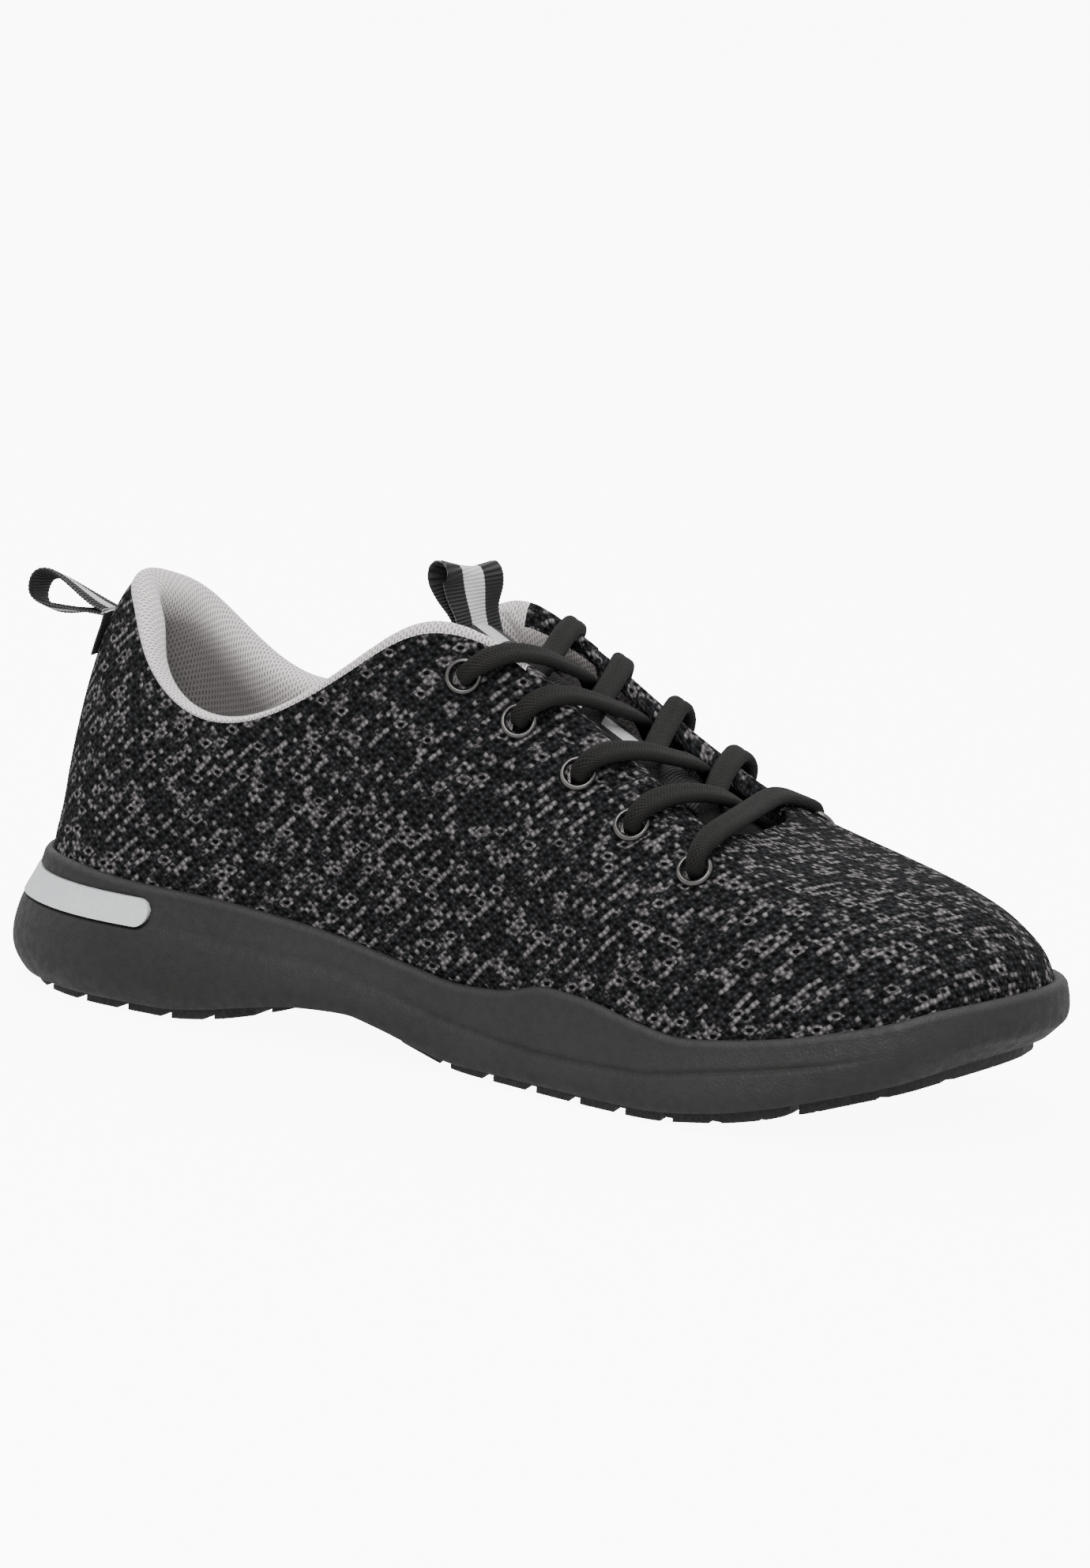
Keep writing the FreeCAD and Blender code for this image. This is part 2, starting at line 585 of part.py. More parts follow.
def make_tongue():
    cover, foam = size("tongue_cover_thickness"), size("tongue_foam_thickness")
    lining, strip = size("tongue_lining_thickness"), size("webbing_thickness")
    seat = 0.1
    tongue_layer("tongue_cover", (0.0, 0.0), (cover, 0.0))
    tongue_layer("tongue_foam", (cover + seat, 0.0), (cover + 0.3, foam), inset=1.5)
    tongue_layer("tongue_lining", (cover + 0.4, foam), (cover + 0.4 + lining, foam), inset=0.3)
    tongue_layer("tongue_webbing", (-seat, 0.0), (-seat - strip, 0.0),
                 half_width=size("tongue_webbing_width") / 2, rows=TONGUE[1:])


# ---------------------------------------------------------------- lace
# The lace's way from one tucked end to the other. A crossing strand leaves an eyelet on top, goes over the
# edge of its own side, across the tongue and under the other edge to the next eyelet, and enters it from
# below.
LACE_ROUTE = [
    (104, -25, 48), (110, -26.5, 59), (116.5, -27, 71), (121.5, -26.5, 83), (125, -20.5, 94),
    (129, -32.5, 97.5), (140, -23, 103), (139.5, -11, 101), (135.5, 3, 100.5), (136, 16, 92),
    (140.5, 19, 82.5), (142, 30, 88), (148, 23.5, 96.5), (148.5, 10, 92), (149.5, -3, 88),
    (153.5, -15.5, 83.5), (157, -20.5, 72), (160.5, -31, 79), (165.5, -24, 85.5), (168.5, -11, 86),
    (170.5, 4, 81.5), (171.5, 17, 73.5), (175, 23.5, 62), (177.5, 34, 69), (182, 25, 75.5),
    (183, 11, 73.5), (185.5, -4.5, 70), (188.5, -17, 62), (194, -27, 54.5), (195, -37, 62),
    (194.5, -28, 69.5), (194.5, -12, 71.5), (194.5, 12, 71.5), (195, 28, 69.5), (196.5, 37, 62.5),
    (195, 27, 54.5), (189, 17.5, 61.5), (188, 3, 74.5), (184, -12.5, 78), (181.5, -25, 76),
    (176.5, -34, 69), (174, -23, 62), (171.5, -17, 75), (167.5, -2.5, 79), (165, 12, 82), (165, 25, 86.5),
    (160.5, 31.5, 78.5), (157.5, 20.5, 72), (154.5, 15.5, 84), (152.5, 2, 92.5), (149.5, -12, 96.5),
    (147.5, -23.5, 96), (143, -30, 89), (140, -19, 84), (138.5, -15.5, 93), (139.5, -2.5, 94.5),
    (140, 12, 101), (137.5, 23.5, 102.5), (126.5, 30.5, 94.5), (123.5, 20.2, 91.3), (121, 24.6, 80),
    (116, 25, 69), (109.5, 24.5, 57.5), (103, 22.5, 47.5)]


def rounded_path(route):
    """Straight runs joined by tangent arcs, each as large as its two runs allow."""
    points = [Vector(*point) for point in route]
    edges, radii = [], []
    start = points[0]
    for before, corner, after in zip(points, points[1:], points[2:]):
        back, ahead = before - corner, after - corner
        reach = 0.45 * min(back.Length, ahead.Length)
        back.normalize()
        ahead.normalize()
        half_turn = (math.pi - back.getAngle(ahead)) / 2
        radius = reach / math.tan(half_turn)
        radii.append(radius)
        centre_way = back + ahead
        centre_way.normalize()
        middle = corner + centre_way * (radius / math.cos(half_turn) - radius)
        edges.append(Part.LineSegment(start, corner + back * reach).toShape())
        edges.append(Part.Arc(corner + back * reach, middle, corner + ahead * reach).toShape())
        start = corner + ahead * reach
    edges.append(Part.LineSegment(start, points[-1]).toShape())
    print("radii", min(radii), "length", sum(edge.Length for edge in edges))
    return Part.Wire(edges)


def make_lace():
    path = rounded_path(LACE_ROUTE)
    radius = size("lace_diameter") / 2
    ends = []
    for here, beyond in ((0, 1), (-1, -2)):
        point = Vector(*LACE_ROUTE[here])
        way = point - Vector(*LACE_ROUTE[beyond])
        way.normalize()
        ends.append((point, way))
    section = Part.Wire(Part.makeCircle(radius, ends[0][0], ends[0][1]))
    lace = path.makePipeShell([section], True, False)
    print("lace volume", lace.Volume / (math.pi * radius**2 * path.Length))
    shaped("lace", lace)
    doc.recompute()
    half, length = size("aglet_diameter") / 2, size("aglet_length")
    aglet = turned_body("aglet_shape", [
        (0, 0), (half, 0), (half, length - 1), (half - 0.6, length), (0, length)])
    doc.recompute()
    copies = []
    for point, way in ends:
        copy = aglet.Shape.copy()
        copy.Placement = FreeCAD.Placement(point, FreeCAD.Rotation(Vector(0, 0, 1), way))
        copies.append(copy)
    shaped("aglets", pieces_of(copies))


# ---------------------------------------------------------------- pull loops
# Each loop's base, the way it runs and the way of the webbing's width.
TONGUE_LOOP_BASE = (114.2, 0.0, 105.3)
TONGUE_LOOP_ALONG = (-0.5, 0.0, 0.87)
TONGUE_LOOP_WIDTH = (0.3, 1.0, -0.2)
HEEL_LOOP_BASE = (10.3, 0.0, 93.4)
HEEL_LOOP_ALONG = (-0.98, 0.0, 0.18)
HEEL_LOOP_WIDTH = (0.0, 1.0, -0.2)


def loop_body(label, radius, reach, width, thickness, place):
    """A webbing loop: two legs from a point that open into a round end, as wide as the webbing."""
    body = doc.addObject("PartDesign::Body", label)
    sketch = new_sketch(body, label + "_outline", "XY_Plane")
    for shrink in (0.0, thickness):
        inner = radius - shrink
        centre = Vector(reach - radius, 0, 0)
        tip = Vector(0.6 if shrink == 0 else 0.6 + thickness * centre.x / radius, 0, 0)
        spread = math.acos(inner / (centre.x - tip.x))
        upper = centre + Vector(-math.cos(spread), math.sin(spread), 0) * inner
        lower = Vector(upper.x, -upper.y, 0)
        far = centre + Vector(inner, 0, 0)
        sketch.addGeometry(Part.LineSegment(tip, upper))
        sketch.addGeometry(Part.Arc(upper, far, lower))
        sketch.addGeometry(Part.LineSegment(lower, tip))
    pad = body.newObject("PartDesign::Pad", label + "_pad")
    pad.Profile = sketch
    pad.Length = width
    pad.Midplane = True
    pad.setExpression("Length", f"sizes.{label.replace('loop', 'webbing_width')}")
    body.Placement = place
    return keep(body, label)


def make_loops():
    strip = size("webbing_thickness")
    # The local X runs along the loop, local Y across its opening and local Z along the webbing's width.
    tongue_place = FreeCAD.Placement(Vector(*TONGUE_LOOP_BASE), FreeCAD.Rotation(
        Vector(*TONGUE_LOOP_ALONG), Vector(0, 0, 0), Vector(*TONGUE_LOOP_WIDTH), "XZY"))
    loop_body("tongue_loop", size("tongue_loop_radius"), size("tongue_loop_reach"),
              size("tongue_webbing_width"), strip, tongue_place)
    heel_place = FreeCAD.Placement(Vector(*HEEL_LOOP_BASE), FreeCAD.Rotation(
        Vector(*HEEL_LOOP_ALONG), Vector(0, 0, 0), Vector(*HEEL_LOOP_WIDTH), "XZY"))
    loop_body("heel_loop", size("heel_loop_radius"), size("heel_loop_reach"),
              size("heel_webbing_width"), strip, heel_place)


make_sole()
make_outsole()
make_boards()
make_upper()
make_eyelets()
make_tongue()
make_lace()
make_loops()
doc.recompute()

# ---------------------------------------------------------------- checks and files
for item in doc.Objects:
    bad = [state for state in item.State if state in ("Invalid", "Error")]
    if bad:
        raise SystemExit(f"{item.Label} failed: {bad}")
faults = []
for item in KEPT:
    shape = item.Shape
    if shape.isNull() or not shape.isValid() or not shape.Solids or min(s.Volume for s in shape.Solids) <= 0:
        faults.append(item.Label)
if faults:
    raise SystemExit(f"no valid solid in {faults}")
os.makedirs("parts", exist_ok=True)
for item in KEPT:
    item.Shape.exportStep(f"parts/{item.Label}.step")
box = FreeCAD.BoundBox()
for item in KEPT:
    box.add(item.Shape.BoundBox)
print("box", [round(v, 2) for v in (box.XMin, box.XMax, box.YMin, box.YMax, box.ZMin, box.ZMax)])
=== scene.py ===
"""Running shoe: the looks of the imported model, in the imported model's frame."""

import math

import bmesh
import bpy
import numpy as np
from mathutils import Matrix, Vector


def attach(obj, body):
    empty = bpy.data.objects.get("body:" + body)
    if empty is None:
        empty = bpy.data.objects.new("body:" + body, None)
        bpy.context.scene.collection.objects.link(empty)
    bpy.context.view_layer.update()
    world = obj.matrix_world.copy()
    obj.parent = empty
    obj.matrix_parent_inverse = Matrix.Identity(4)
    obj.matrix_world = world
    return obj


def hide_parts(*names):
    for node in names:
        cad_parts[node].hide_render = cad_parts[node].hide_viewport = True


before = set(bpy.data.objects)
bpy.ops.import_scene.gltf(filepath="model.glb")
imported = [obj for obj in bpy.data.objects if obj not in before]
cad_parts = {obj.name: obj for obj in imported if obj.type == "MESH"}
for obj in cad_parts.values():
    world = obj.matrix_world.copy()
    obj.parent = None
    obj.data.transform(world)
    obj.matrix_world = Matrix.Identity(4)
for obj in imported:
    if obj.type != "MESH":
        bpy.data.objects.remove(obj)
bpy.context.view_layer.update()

# The tables are in millimetres from the back of the heel; CENTRE brings them to the model's own origin.
CENTRE = np.array([133.7, -0.5, 0.0])
MM = 0.001


def placed(points):
    """Millimetres from the heel to metres from the model's origin."""
    return (np.asarray(points, float) - CENTRE) * MM


# ---------------------------------------------------------------- shape tables (as in the solid model)
# Each station: sole rim x, y, outward direction; opening edge x, y, z; lean at the rim, lower reach,
# fall angle at the opening, upper reach; padding depth at the opening and below it.
LATERAL = [
    (1.3, 0, 180, 19, 0, 103, 8, 18, 47, 19, 7.5, 10),
    (6.5, -17, 212, 24.5, -9, 97, 8, 18, 56, 15, 7, 9.5),
    (24, -28.2, 248, 32.5, -17.5, 88, 8, 18, 70, 13, 6, 8.5),
    (45, -31.5, 264, 43.5, -24, 79.8, 8, 17, 80, 12, 5.2, 7),
    (66, -32.4, 269, 58, -28, 76, 8, 16, 86, 12, 5, 6.5),
    (88, -32.8, 269, 76, -29.6, 80.5, 7, 17, 86, 14, 5, 6.5),
    (110, -33.4, 267, 97, -30, 94, 6, 20, 82, 20, 4.4, 4.8),
    (132, -35.2, 264, 117, -27.8, 106, 6, 22, 72, 24, 3, 2.9),
    (153, -38.8, 260, 136, -21, 101.5, 6, 22, 58, 22, 2.3, 2.3),
    (174, -43, 260, 150, -19.5, 91.3, 8, 22, 48, 20, 2.25, 2.25),
    (196, -46.2, 266, 165, -19.5, 81.7, 8, 22, 42, 18, 2.25, 2.25),
    (220, -46, 278, 180, -20.5, 73, 8, 22, 33, 18, 2.25, 2.25),
    (246, -39.5, 302, 190.5, -19, 66.8, 8, 26, 22, 22, 2.25, 2.25),
    (262, -25, 330, 197, -10, 64.2, 8, 29, 18, 29, 2.25, 2.25),
    (272, 3, 360, 198, 1, 64.2, 8, 31, 18, 32, 2.25, 2.25),
]
MEDIAL = [
    (6.5, 17, 148, 23.5, 10, 101.7, 8, 18, 56, 15, 7, 9.5),
    (24, 28.2, 112, 31, 19, 96.3, 8, 18, 70, 13, 6, 8.5),
    (45, 31.3, 96, 43, 25.6, 84.3, 8, 17, 80, 12, 5.2, 7),
    (66, 31.3, 91, 58, 28.5, 77.5, 8, 16, 86, 12, 5, 6.5),
    (88, 29.8, 91, 76, 29.5, 82, 7, 17, 86, 14, 5, 6.5),
    (110, 29.8, 93, 97, 29.5, 95.5, 6, 20, 82, 20, 4.4, 4.8),
    (133, 32, 97, 115, 27, 103.5, 6, 22, 72, 24, 3, 2.9),
    (155, 36.5, 101, 134.5, 20.5, 99.5, 6, 22, 58, 22, 2.3, 2.3),
    (178, 42, 98, 149.5, 20, 91, 8, 22, 48, 20, 2.25, 2.25),
    (203, 45.5, 91, 164.5, 20, 81.7, 8, 22, 42, 18, 2.25, 2.25),
    (228, 44.5, 81, 179.5, 21, 73, 8, 22, 33, 18, 2.25, 2.25),
    (250, 37.5, 58, 190.5, 20, 67, 8, 26, 23, 21, 2.25, 2.25),
    (265.5, 23, 30, 197, 12, 64.2, 8, 29, 19, 28, 2.25, 2.25),
]
STATIONS = np.array(LATERAL + MEDIAL[::-1], float)
COUNT = len(STATIONS)
CORNER = 8                                       # the station where the collar meets the throat
KNIT, LINING_DEPTH, LINING = 1.4, 2.25, 0.8
EYELETS = [(7.5, 0.87), (8.35, 0.825), (9.5, 0.81), (10.35, 0.75), (11.25, 0.69)]

# Heights along the shoe: the sole's rim, the footbed, the groove in the side wall and the tread's edge.
RIM_LINE = [(-20, 34), (12, 34), (37, 32.5), (62, 31.8), (90, 29.3), (108, 26.2), (120, 23.8), (134, 21.7),
            (145, 22.4), (161, 26), (172, 25.4), (187, 22.5), (199, 20.9), (212, 22.3), (225, 24.4),
            (238, 27.3), (250, 30.3), (262, 34), (300, 38)]
FOOT_LINE = [(-20, 27), (60, 26), (90, 24), (110, 21.5), (134, 18.5), (160, 16), (185, 14.5), (205, 14.7),
             (225, 17), (245, 21.5), (262, 26.5), (300, 33)]
GROOVE_LINE = [(-20, 24), (46, 23.7), (80, 21.7), (96, 20.8), (111, 18), (127, 14.1), (137, 12.3),
               (162, 10.6), (187, 11.3), (209, 14.8), (225, 17.8), (236, 19.9), (257, 24.8), (300, 29)]
TREAD_LINE = [(-20, 3.2), (10, 1.2), (50, 1.2), (62, 2.6), (75, 5.2), (90, 7.6), (104, 8.2), (112, 6.5),
              (125, 3.2), (137, 1.2), (190, 1.2), (210, 3.4), (225, 6.6), (240, 10.8), (252, 14.2),
              (262, 17.8), (300, 27)]

# The lace's way from one tucked end to the other.
LACE_ROUTE = [
    (104, -25, 48), (110, -26.5, 59), (116.5, -27, 71), (121.5, -26.5, 83), (125, -20.5, 94),
    (129.2, -31.6, 97.4), (135.5, -25.5, 102.8), (140.5, -15.5, 101.8), (143.5, -4, 97.2), (143, 7, 93.2),
    (140.5, 15.5, 88.5), (140.5, 19, 82.5), (141.8, 29, 88), (144.5, 24.5, 96), (148.5, 12, 92.8),
    (150.5, -2, 88), (153.5, -14, 83.5), (157, -20.5, 72), (161, -30.2, 78.6), (165, -26, 82.4),
    (170, -16, 82.2), (174, -5, 79), (175, 6, 76), (173.5, 15.5, 71.5), (175, 23.5, 62), (177.3, 32.8, 69.3),
    (176.5, 27, 76.4), (179, 15, 75.4), (182, 2, 71.2), (187.5, -13, 64.5), (194, -27, 54.5),
    (195.5, -36.2, 61.8), (196, -29, 66.8), (196.5, -17, 68.6), (194.5, 0, 69.2), (192.5, 14, 69.4),
    (192.5, 25, 67), (195.2, 35, 62.6), (195, 27, 54.5), (190.5, 17, 60.5), (189, 6, 66.2), (188, -5, 71.6),
    (184, -17, 74), (180, -28, 73.4), (177, -33.2, 68.7), (174, -23, 62), (170.5, -14, 75), (166, 0, 79.2),
    (162.5, 14, 83.6), (160.5, 25, 87.4), (160.5, 30.5, 78.5), (157.5, 20.5, 72), (155.5, 15.5, 81.5),
    (157, 8, 85), (156, -4, 89), (151.5, -15.5, 93.2), (147.5, -25, 93.6), (143.2, -29.2, 88.8),
    (140, -19, 84), (138, -15.5, 92.5), (137, -9, 95), (135.5, 2, 97.8), (133.5, 13, 101.8),
    (131.5, 24, 103.2), (126.5, 29.7, 94.7), (123.5, 20.2, 91.3), (121, 24.6, 80), (116, 25, 69),
    (109.5, 24.5, 57.5), (103, 22.5, 47.5)]

# The middle of the tongue's upper face from its base to its top: x, z, half width, share of full padding.
TONGUE = [(204, 55.5, 17, 0.25), (196, 60, 19, 0.4), (182, 68.5, 21, 0.7), (166, 76.2, 22.5, 1),
          (150, 84.5, 22.5, 1), (134, 93.5, 21, 1), (122, 100, 19.5, 1), (116, 103.2, 18.5, 0.9),
          (114.5, 104, 17, 0.7)]

# Control values, for six points over 0 to 3, that make a clamped cubic follow a line and its square exactly.
PARABOLA = [(0, 0), (1 / 3, 0), (1, 2 / 3), (2, 11 / 3), (8 / 3, 7), (3, 9)]
TONGUE_ARCH = 0.03


def line(points):
    """A monotone cubic through the points, as a function of an array of x."""
    xs, ys = np.array(points, float).T
    steps, rises = np.diff(xs), np.diff(ys) / np.diff(xs)
    slopes = np.zeros(len(xs))
    slopes[0], slopes[-1] = rises[0], rises[-1]
    for i in range(1, len(steps)):
        if rises[i - 1] * rises[i] > 0:
            near, far = 2 * steps[i] + steps[i - 1], steps[i] + 2 * steps[i - 1]
            slopes[i] = (near + far) / (near / rises[i - 1] + far / rises[i])

    def height(x):
        x = np.clip(np.asarray(x, float), xs[0], xs[-1])
        i = np.clip(np.searchsorted(xs, x, side="right") - 1, 0, len(steps) - 1)
        f = (x - xs[i]) / steps[i]
        return ((2 * f**3 - 3 * f**2 + 1) * ys[i] + (f**3 - 2 * f**2 + f) * steps[i] * slopes[i]
                + (3 * f**2 - 2 * f**3) * ys[i + 1] + (f**3 - f**2) * steps[i] * slopes[i + 1])
    return height


rim_height, foot_height = line(RIM_LINE), line(FOOT_LINE)
groove_height, tread_height = line(GROOVE_LINE), line(TREAD_LINE)
TURN = np.radians(STATIONS[:, 2])
OUT = np.stack([np.cos(TURN), np.sin(TURN), 0 * TURN], 1)
UP = np.array([0.0, 0.0, 1.0])


def unit(v):
    return v / np.maximum(np.linalg.norm(v, axis=-1, keepdims=True), 1e-9)


def gaps(points, way=0):
    """Distances between neighbouring points along one way of a path or a grid."""
    return np.linalg.norm(np.diff(points, axis=way), axis=-1)


def running(lengths):
    return np.concatenate([[0], np.cumsum(lengths)])


def linked(obj):
    bpy.context.scene.collection.objects.link(obj)
    return obj


def rim_inside(distance):
    """The sole's rim at every station, drawn in by a distance, at height 0."""
    return np.stack([STATIONS[:, 0], STATIONS[:, 1], 0 * TURN], 1) - OUT * distance


def middle_of(ring, first, last):
    """The line along the shoe's middle that a ring round the shoe closes on, from x first to x last."""
    spine = ring.copy()
    spine[:, 0] = np.clip(ring[:, 0], first, last)
    spine[:, 1] = 0.0
    return spine


def upper_columns(depths):
    """The four control points of the upper at every station, sunk by depths of shape (stations, 4)."""
    foot = rim_inside(3.1)
    foot[:, 2] = foot_height(foot[:, 0])
    edge = STATIONS[:, 3:6]
    lean, fall = np.radians(STATIONS[:, 6:7]), np.radians(STATIONS[:, 8:9])
    low = foot + (OUT * np.sin(lean) + UP * np.cos(lean)) * STATIONS[:, 7:8]
    high = edge + (OUT * np.cos(fall) - UP * np.sin(fall)) * STATIONS[:, 9:10]
    low_normal = OUT * np.cos(lean) - UP * np.sin(lean)
    high_normal = OUT * np.sin(fall) + UP * np.cos(fall)
    leg = high - low
    middle = unit(OUT * leg[:, 2:3] - UP * np.sum(leg * OUT, 1, keepdims=True))
    at_low = (low_normal + middle) / (1 + np.sum(low_normal * middle, 1, keepdims=True))
    at_high = (middle + high_normal) / (1 + np.sum(middle * high_normal, 1, keepdims=True))
    sunk = [foot - low_normal * depths[:, 0:1], low - at_low * depths[:, 1:2],
            high - at_high * depths[:, 2:3], edge - high_normal * depths[:, 3:4]]
    return np.stack(sunk, 1)


def layer(depth):
    return upper_columns(np.full((COUNT, 4), float(depth)))


def padded_layer(extra):
    """The face of the lining that touches the padding, plus a layer."""
    depths = np.full((COUNT, 4), LINING_DEPTH + extra)
    depths[:, 2], depths[:, 3] = STATIONS[:, 11] + extra, STATIONS[:, 10] + extra
    return upper_columns(depths)


def along(columns, where):
    """The control rows at positions round the shoe, on the closed cubic through the station columns."""
    n = len(columns)
    mix = (4 * np.eye(n) + np.roll(np.eye(n), 1, 0) + np.roll(np.eye(n), -1, 0)) / 6
    controls = np.linalg.solve(mix, columns.reshape(n, -1)).reshape(columns.shape)
    where = np.asarray(where, float)
    i = np.floor(where).astype(int)
    t = (where - i)[:, None, None]
    weights = [(1 - t)**3, 3 * t**3 - 6 * t**2 + 4, -3 * t**3 + 3 * t**2 + 3 * t + 1, t**3]
    return sum(w / 6 * controls[(i - 1 + k) % n] for k, w in enumerate(weights))


def round_shoe(values, where):
    """One vector a station, read at positions round the shoe."""
    return along(np.repeat(values[:, None], 2, 1), where)[:, 0]


def clamped(rows, v):
    """Points up a clamped cubic with the given control rows, of shape (places, rows, 3)."""
    spans = rows.shape[1] - 3
    knots = np.concatenate([[0] * 3, np.arange(spans + 1), [spans] * 3]).astype(float)
    x = np.clip(np.asarray(v, float) * spans, 0, spans - 1e-9)
    basis = [((knots[i] <= x) & (x < knots[i + 1])).astype(float) for i in range(len(knots) - 1)]
    for degree in (1, 2, 3):
        fresh = []
        for i in range(len(knots) - 1 - degree):
            left, right = knots[i + degree] - knots[i], knots[i + degree + 1] - knots[i + 1]
            value = 0 * x
            if left > 0:
                value = value + (x - knots[i]) / left * basis[i]
            if right > 0:
                value = value + (knots[i + degree + 1] - x) / right * basis[i + 1]
            fresh.append(value)
        basis = fresh
    return np.einsum("kv,ukc->uvc", np.array(basis), rows)


def surface(columns, where, v):
    return clamped(along(columns, where), v)


def grid_normals(points, closed):
    """Unit normals of a grid of points, by central differences."""
    if closed:
        du = np.roll(points, -1, 0) - np.roll(points, 1, 0)
    else:
        du = np.gradient(points, axis=0)
    return unit(np.cross(du, np.gradient(points, axis=1)))


def grid_lengths(points, closed):
    """Running lengths along both ways of a grid, in millimetres, averaged over the grid."""
    loop = np.concatenate([points, points[:1]], 0) if closed else points
    us = running(gaps(loop).mean(1))
    vs = np.concatenate([np.zeros((len(points), 1)), np.cumsum(gaps(points, 1), 1)], 1)
    vs = np.concatenate([vs, vs[:1]], 0) if closed else vs
    return np.stack([np.repeat(us[:, None], points.shape[1], 1), vs], 2)


def tape_uv(lengths, sides):
    """The pattern of a tape or cord: length along it one way, place round it the other."""
    return np.stack([np.repeat(lengths[:, None], len(sides), 1), np.repeat(sides[None], len(lengths), 0)], 2)


def grid_piece(name, points, closed=False, uv=None, keep=None, flip=False, tube=False, slots=None):
    """A mesh object from a grid of points in millimetres; uv has one more column where the grid closes."""
    nu, nv = points.shape[:2]
    verts = placed(points).reshape(-1, 3)
    uv = grid_lengths(points, closed) if uv is None else uv
    faces, corners, kinds = [], [], []
    for i in range(nu if closed else nu - 1):
        for j in range(nv if tube else nv - 1):
            if keep is not None and not keep(i, j):
                continue
            a, b = i, (i + 1) % nu
            c, d = j, (j + 1) % nv
            face = [a * nv + c, b * nv + c, b * nv + d, a * nv + d]
            spot = [(i, j), (i + 1, j), (i + 1, j + 1), (i, j + 1)]
            faces.append(face[::-1] if flip else face)
            corners += spot[::-1] if flip else spot
            kinds.append(0 if slots is None else slots(i, j))
    mesh = bpy.data.meshes.new(name)
    mesh.from_pydata(verts.tolist(), [], faces)
    mesh.shade_smooth()
    mesh.polygons.foreach_set("material_index", kinds)
    picks = np.array(corners)
    picks = np.minimum(picks, np.array(uv.shape[:2]) - 1)
    layer_uv = mesh.uv_layers.new(name="surface")
    layer_uv.data.foreach_set("uv", uv[picks[:, 0], picks[:, 1]].astype("f").ravel())
    return linked(bpy.data.objects.new(name, mesh))


# ---------------------------------------------------------------- materials
class Paint:
    """One node material; a value passed to its helpers is a constant or another node's output."""

    def __init__(self, name, **constants):
        self.material = bpy.data.materials.new(name)
        self.material.use_nodes = True
        self.tree = self.material.node_tree
        self.shader = self.tree.nodes["Principled BSDF"]
        for key, value in constants.items():
            self.shader.inputs[key.replace("_", " ")].default_value = value

    def feed(self, socket, value):
        if isinstance(value, bpy.types.NodeSocket):
            self.tree.links.new(value, socket)
        else:
            socket.default_value = value

    def node(self, kind, settings=None, inputs=None):
        node = self.tree.nodes.new("ShaderNode" + kind)
        for key, value in (settings or {}).items():
            setattr(node, key, value)
        for key, value in (inputs or {}).items():
            self.feed(node.inputs[key], value)
        return node

    def calc(self, operation, *values):
        return self.node("Math", {"operation": operation}, dict(enumerate(values))).outputs[0]

    def vector(self, operation, *values):
        return self.node("VectorMath", {"operation": operation}, dict(enumerate(values))).outputs[0]

    def combine(self, *values):
        return self.node("CombineXYZ", inputs=dict(enumerate(values))).outputs[0]

    def split(self, value):
        return self.node("SeparateXYZ", inputs={0: value}).outputs[:3]

    def smooth(self, value, low, high, first=0.0, last=1.0):
        inputs = {0: value, 1: low, 2: high, 3: first, 4: last}
        return self.node("MapRange", {"interpolation_type": "SMOOTHSTEP"}, inputs).outputs[0]

    def mix(self, share, first, last):
        fade = self.node("Mix", {"data_type": "RGBA"}, {0: share, 6: first, 7: last})
        return fade.outputs[2]

    def noise(self, where, scale, detail=2.0, rough=0.5, dimensions="3D"):
        inputs = {"Vector": where, "Scale": scale, "Detail": detail, "Roughness": rough}
        return self.node("TexNoise", {"noise_dimensions": dimensions}, inputs).outputs[0]

    def cells(self, where, scale, randomness=1.0, dimensions="2D"):
        inputs = {"Vector": where, "Scale": scale, "Randomness": randomness}
        return self.node("TexVoronoi", {"voronoi_dimensions": dimensions}, inputs).outputs

    def chance(self, where):
        """The same random number for every point with the same place."""
        return self.node("TexWhiteNoise", {"noise_dimensions": "2D"}, {"Vector": where}).outputs[0]

    def bump(self, height, distance, under=None):
        inputs = {"Height": height, "Distance": distance, "Strength": 1.0}
        if under is not None:
            inputs["Normal"] = under
        return self.node("Bump", inputs=inputs).outputs[0]

    def place(self):
        """The place on the object, in metres."""
        return self.node("TexCoord").outputs["Object"]

    def pattern(self):
        """The place on the cloth, in millimetres."""
        return self.node("UVMap", {"uv_map": "surface"}).outputs[0]

    def finish(self, colour=None, roughness=None, normal=None):
        for key, value in (("Base Color", colour), ("Roughness", roughness), ("Normal", normal)):
            if value is not None:
                self.feed(self.shader.inputs[key], value)
        return self.material


def grey(value, warm=1.0, cool=1.0):
    return (value * warm, value, value * cool, 1.0)


STITCH, HOLE_PITCH = 1.3, 2.6                    # the stitch and the spacing of the holes, in millimetres
RUN_LEVEL, RING_SHARE = 0.722, 0.09              # the noise that makes a pale run; the share of ringed holes
KNIT_DARK, KNIT_PALE = (0.0225, 0.0230, 0.0248), (0.165, 0.153, 0.160)
GRAIN_TURN = 72.0                                # the way of the pale runs over the pattern, in degrees


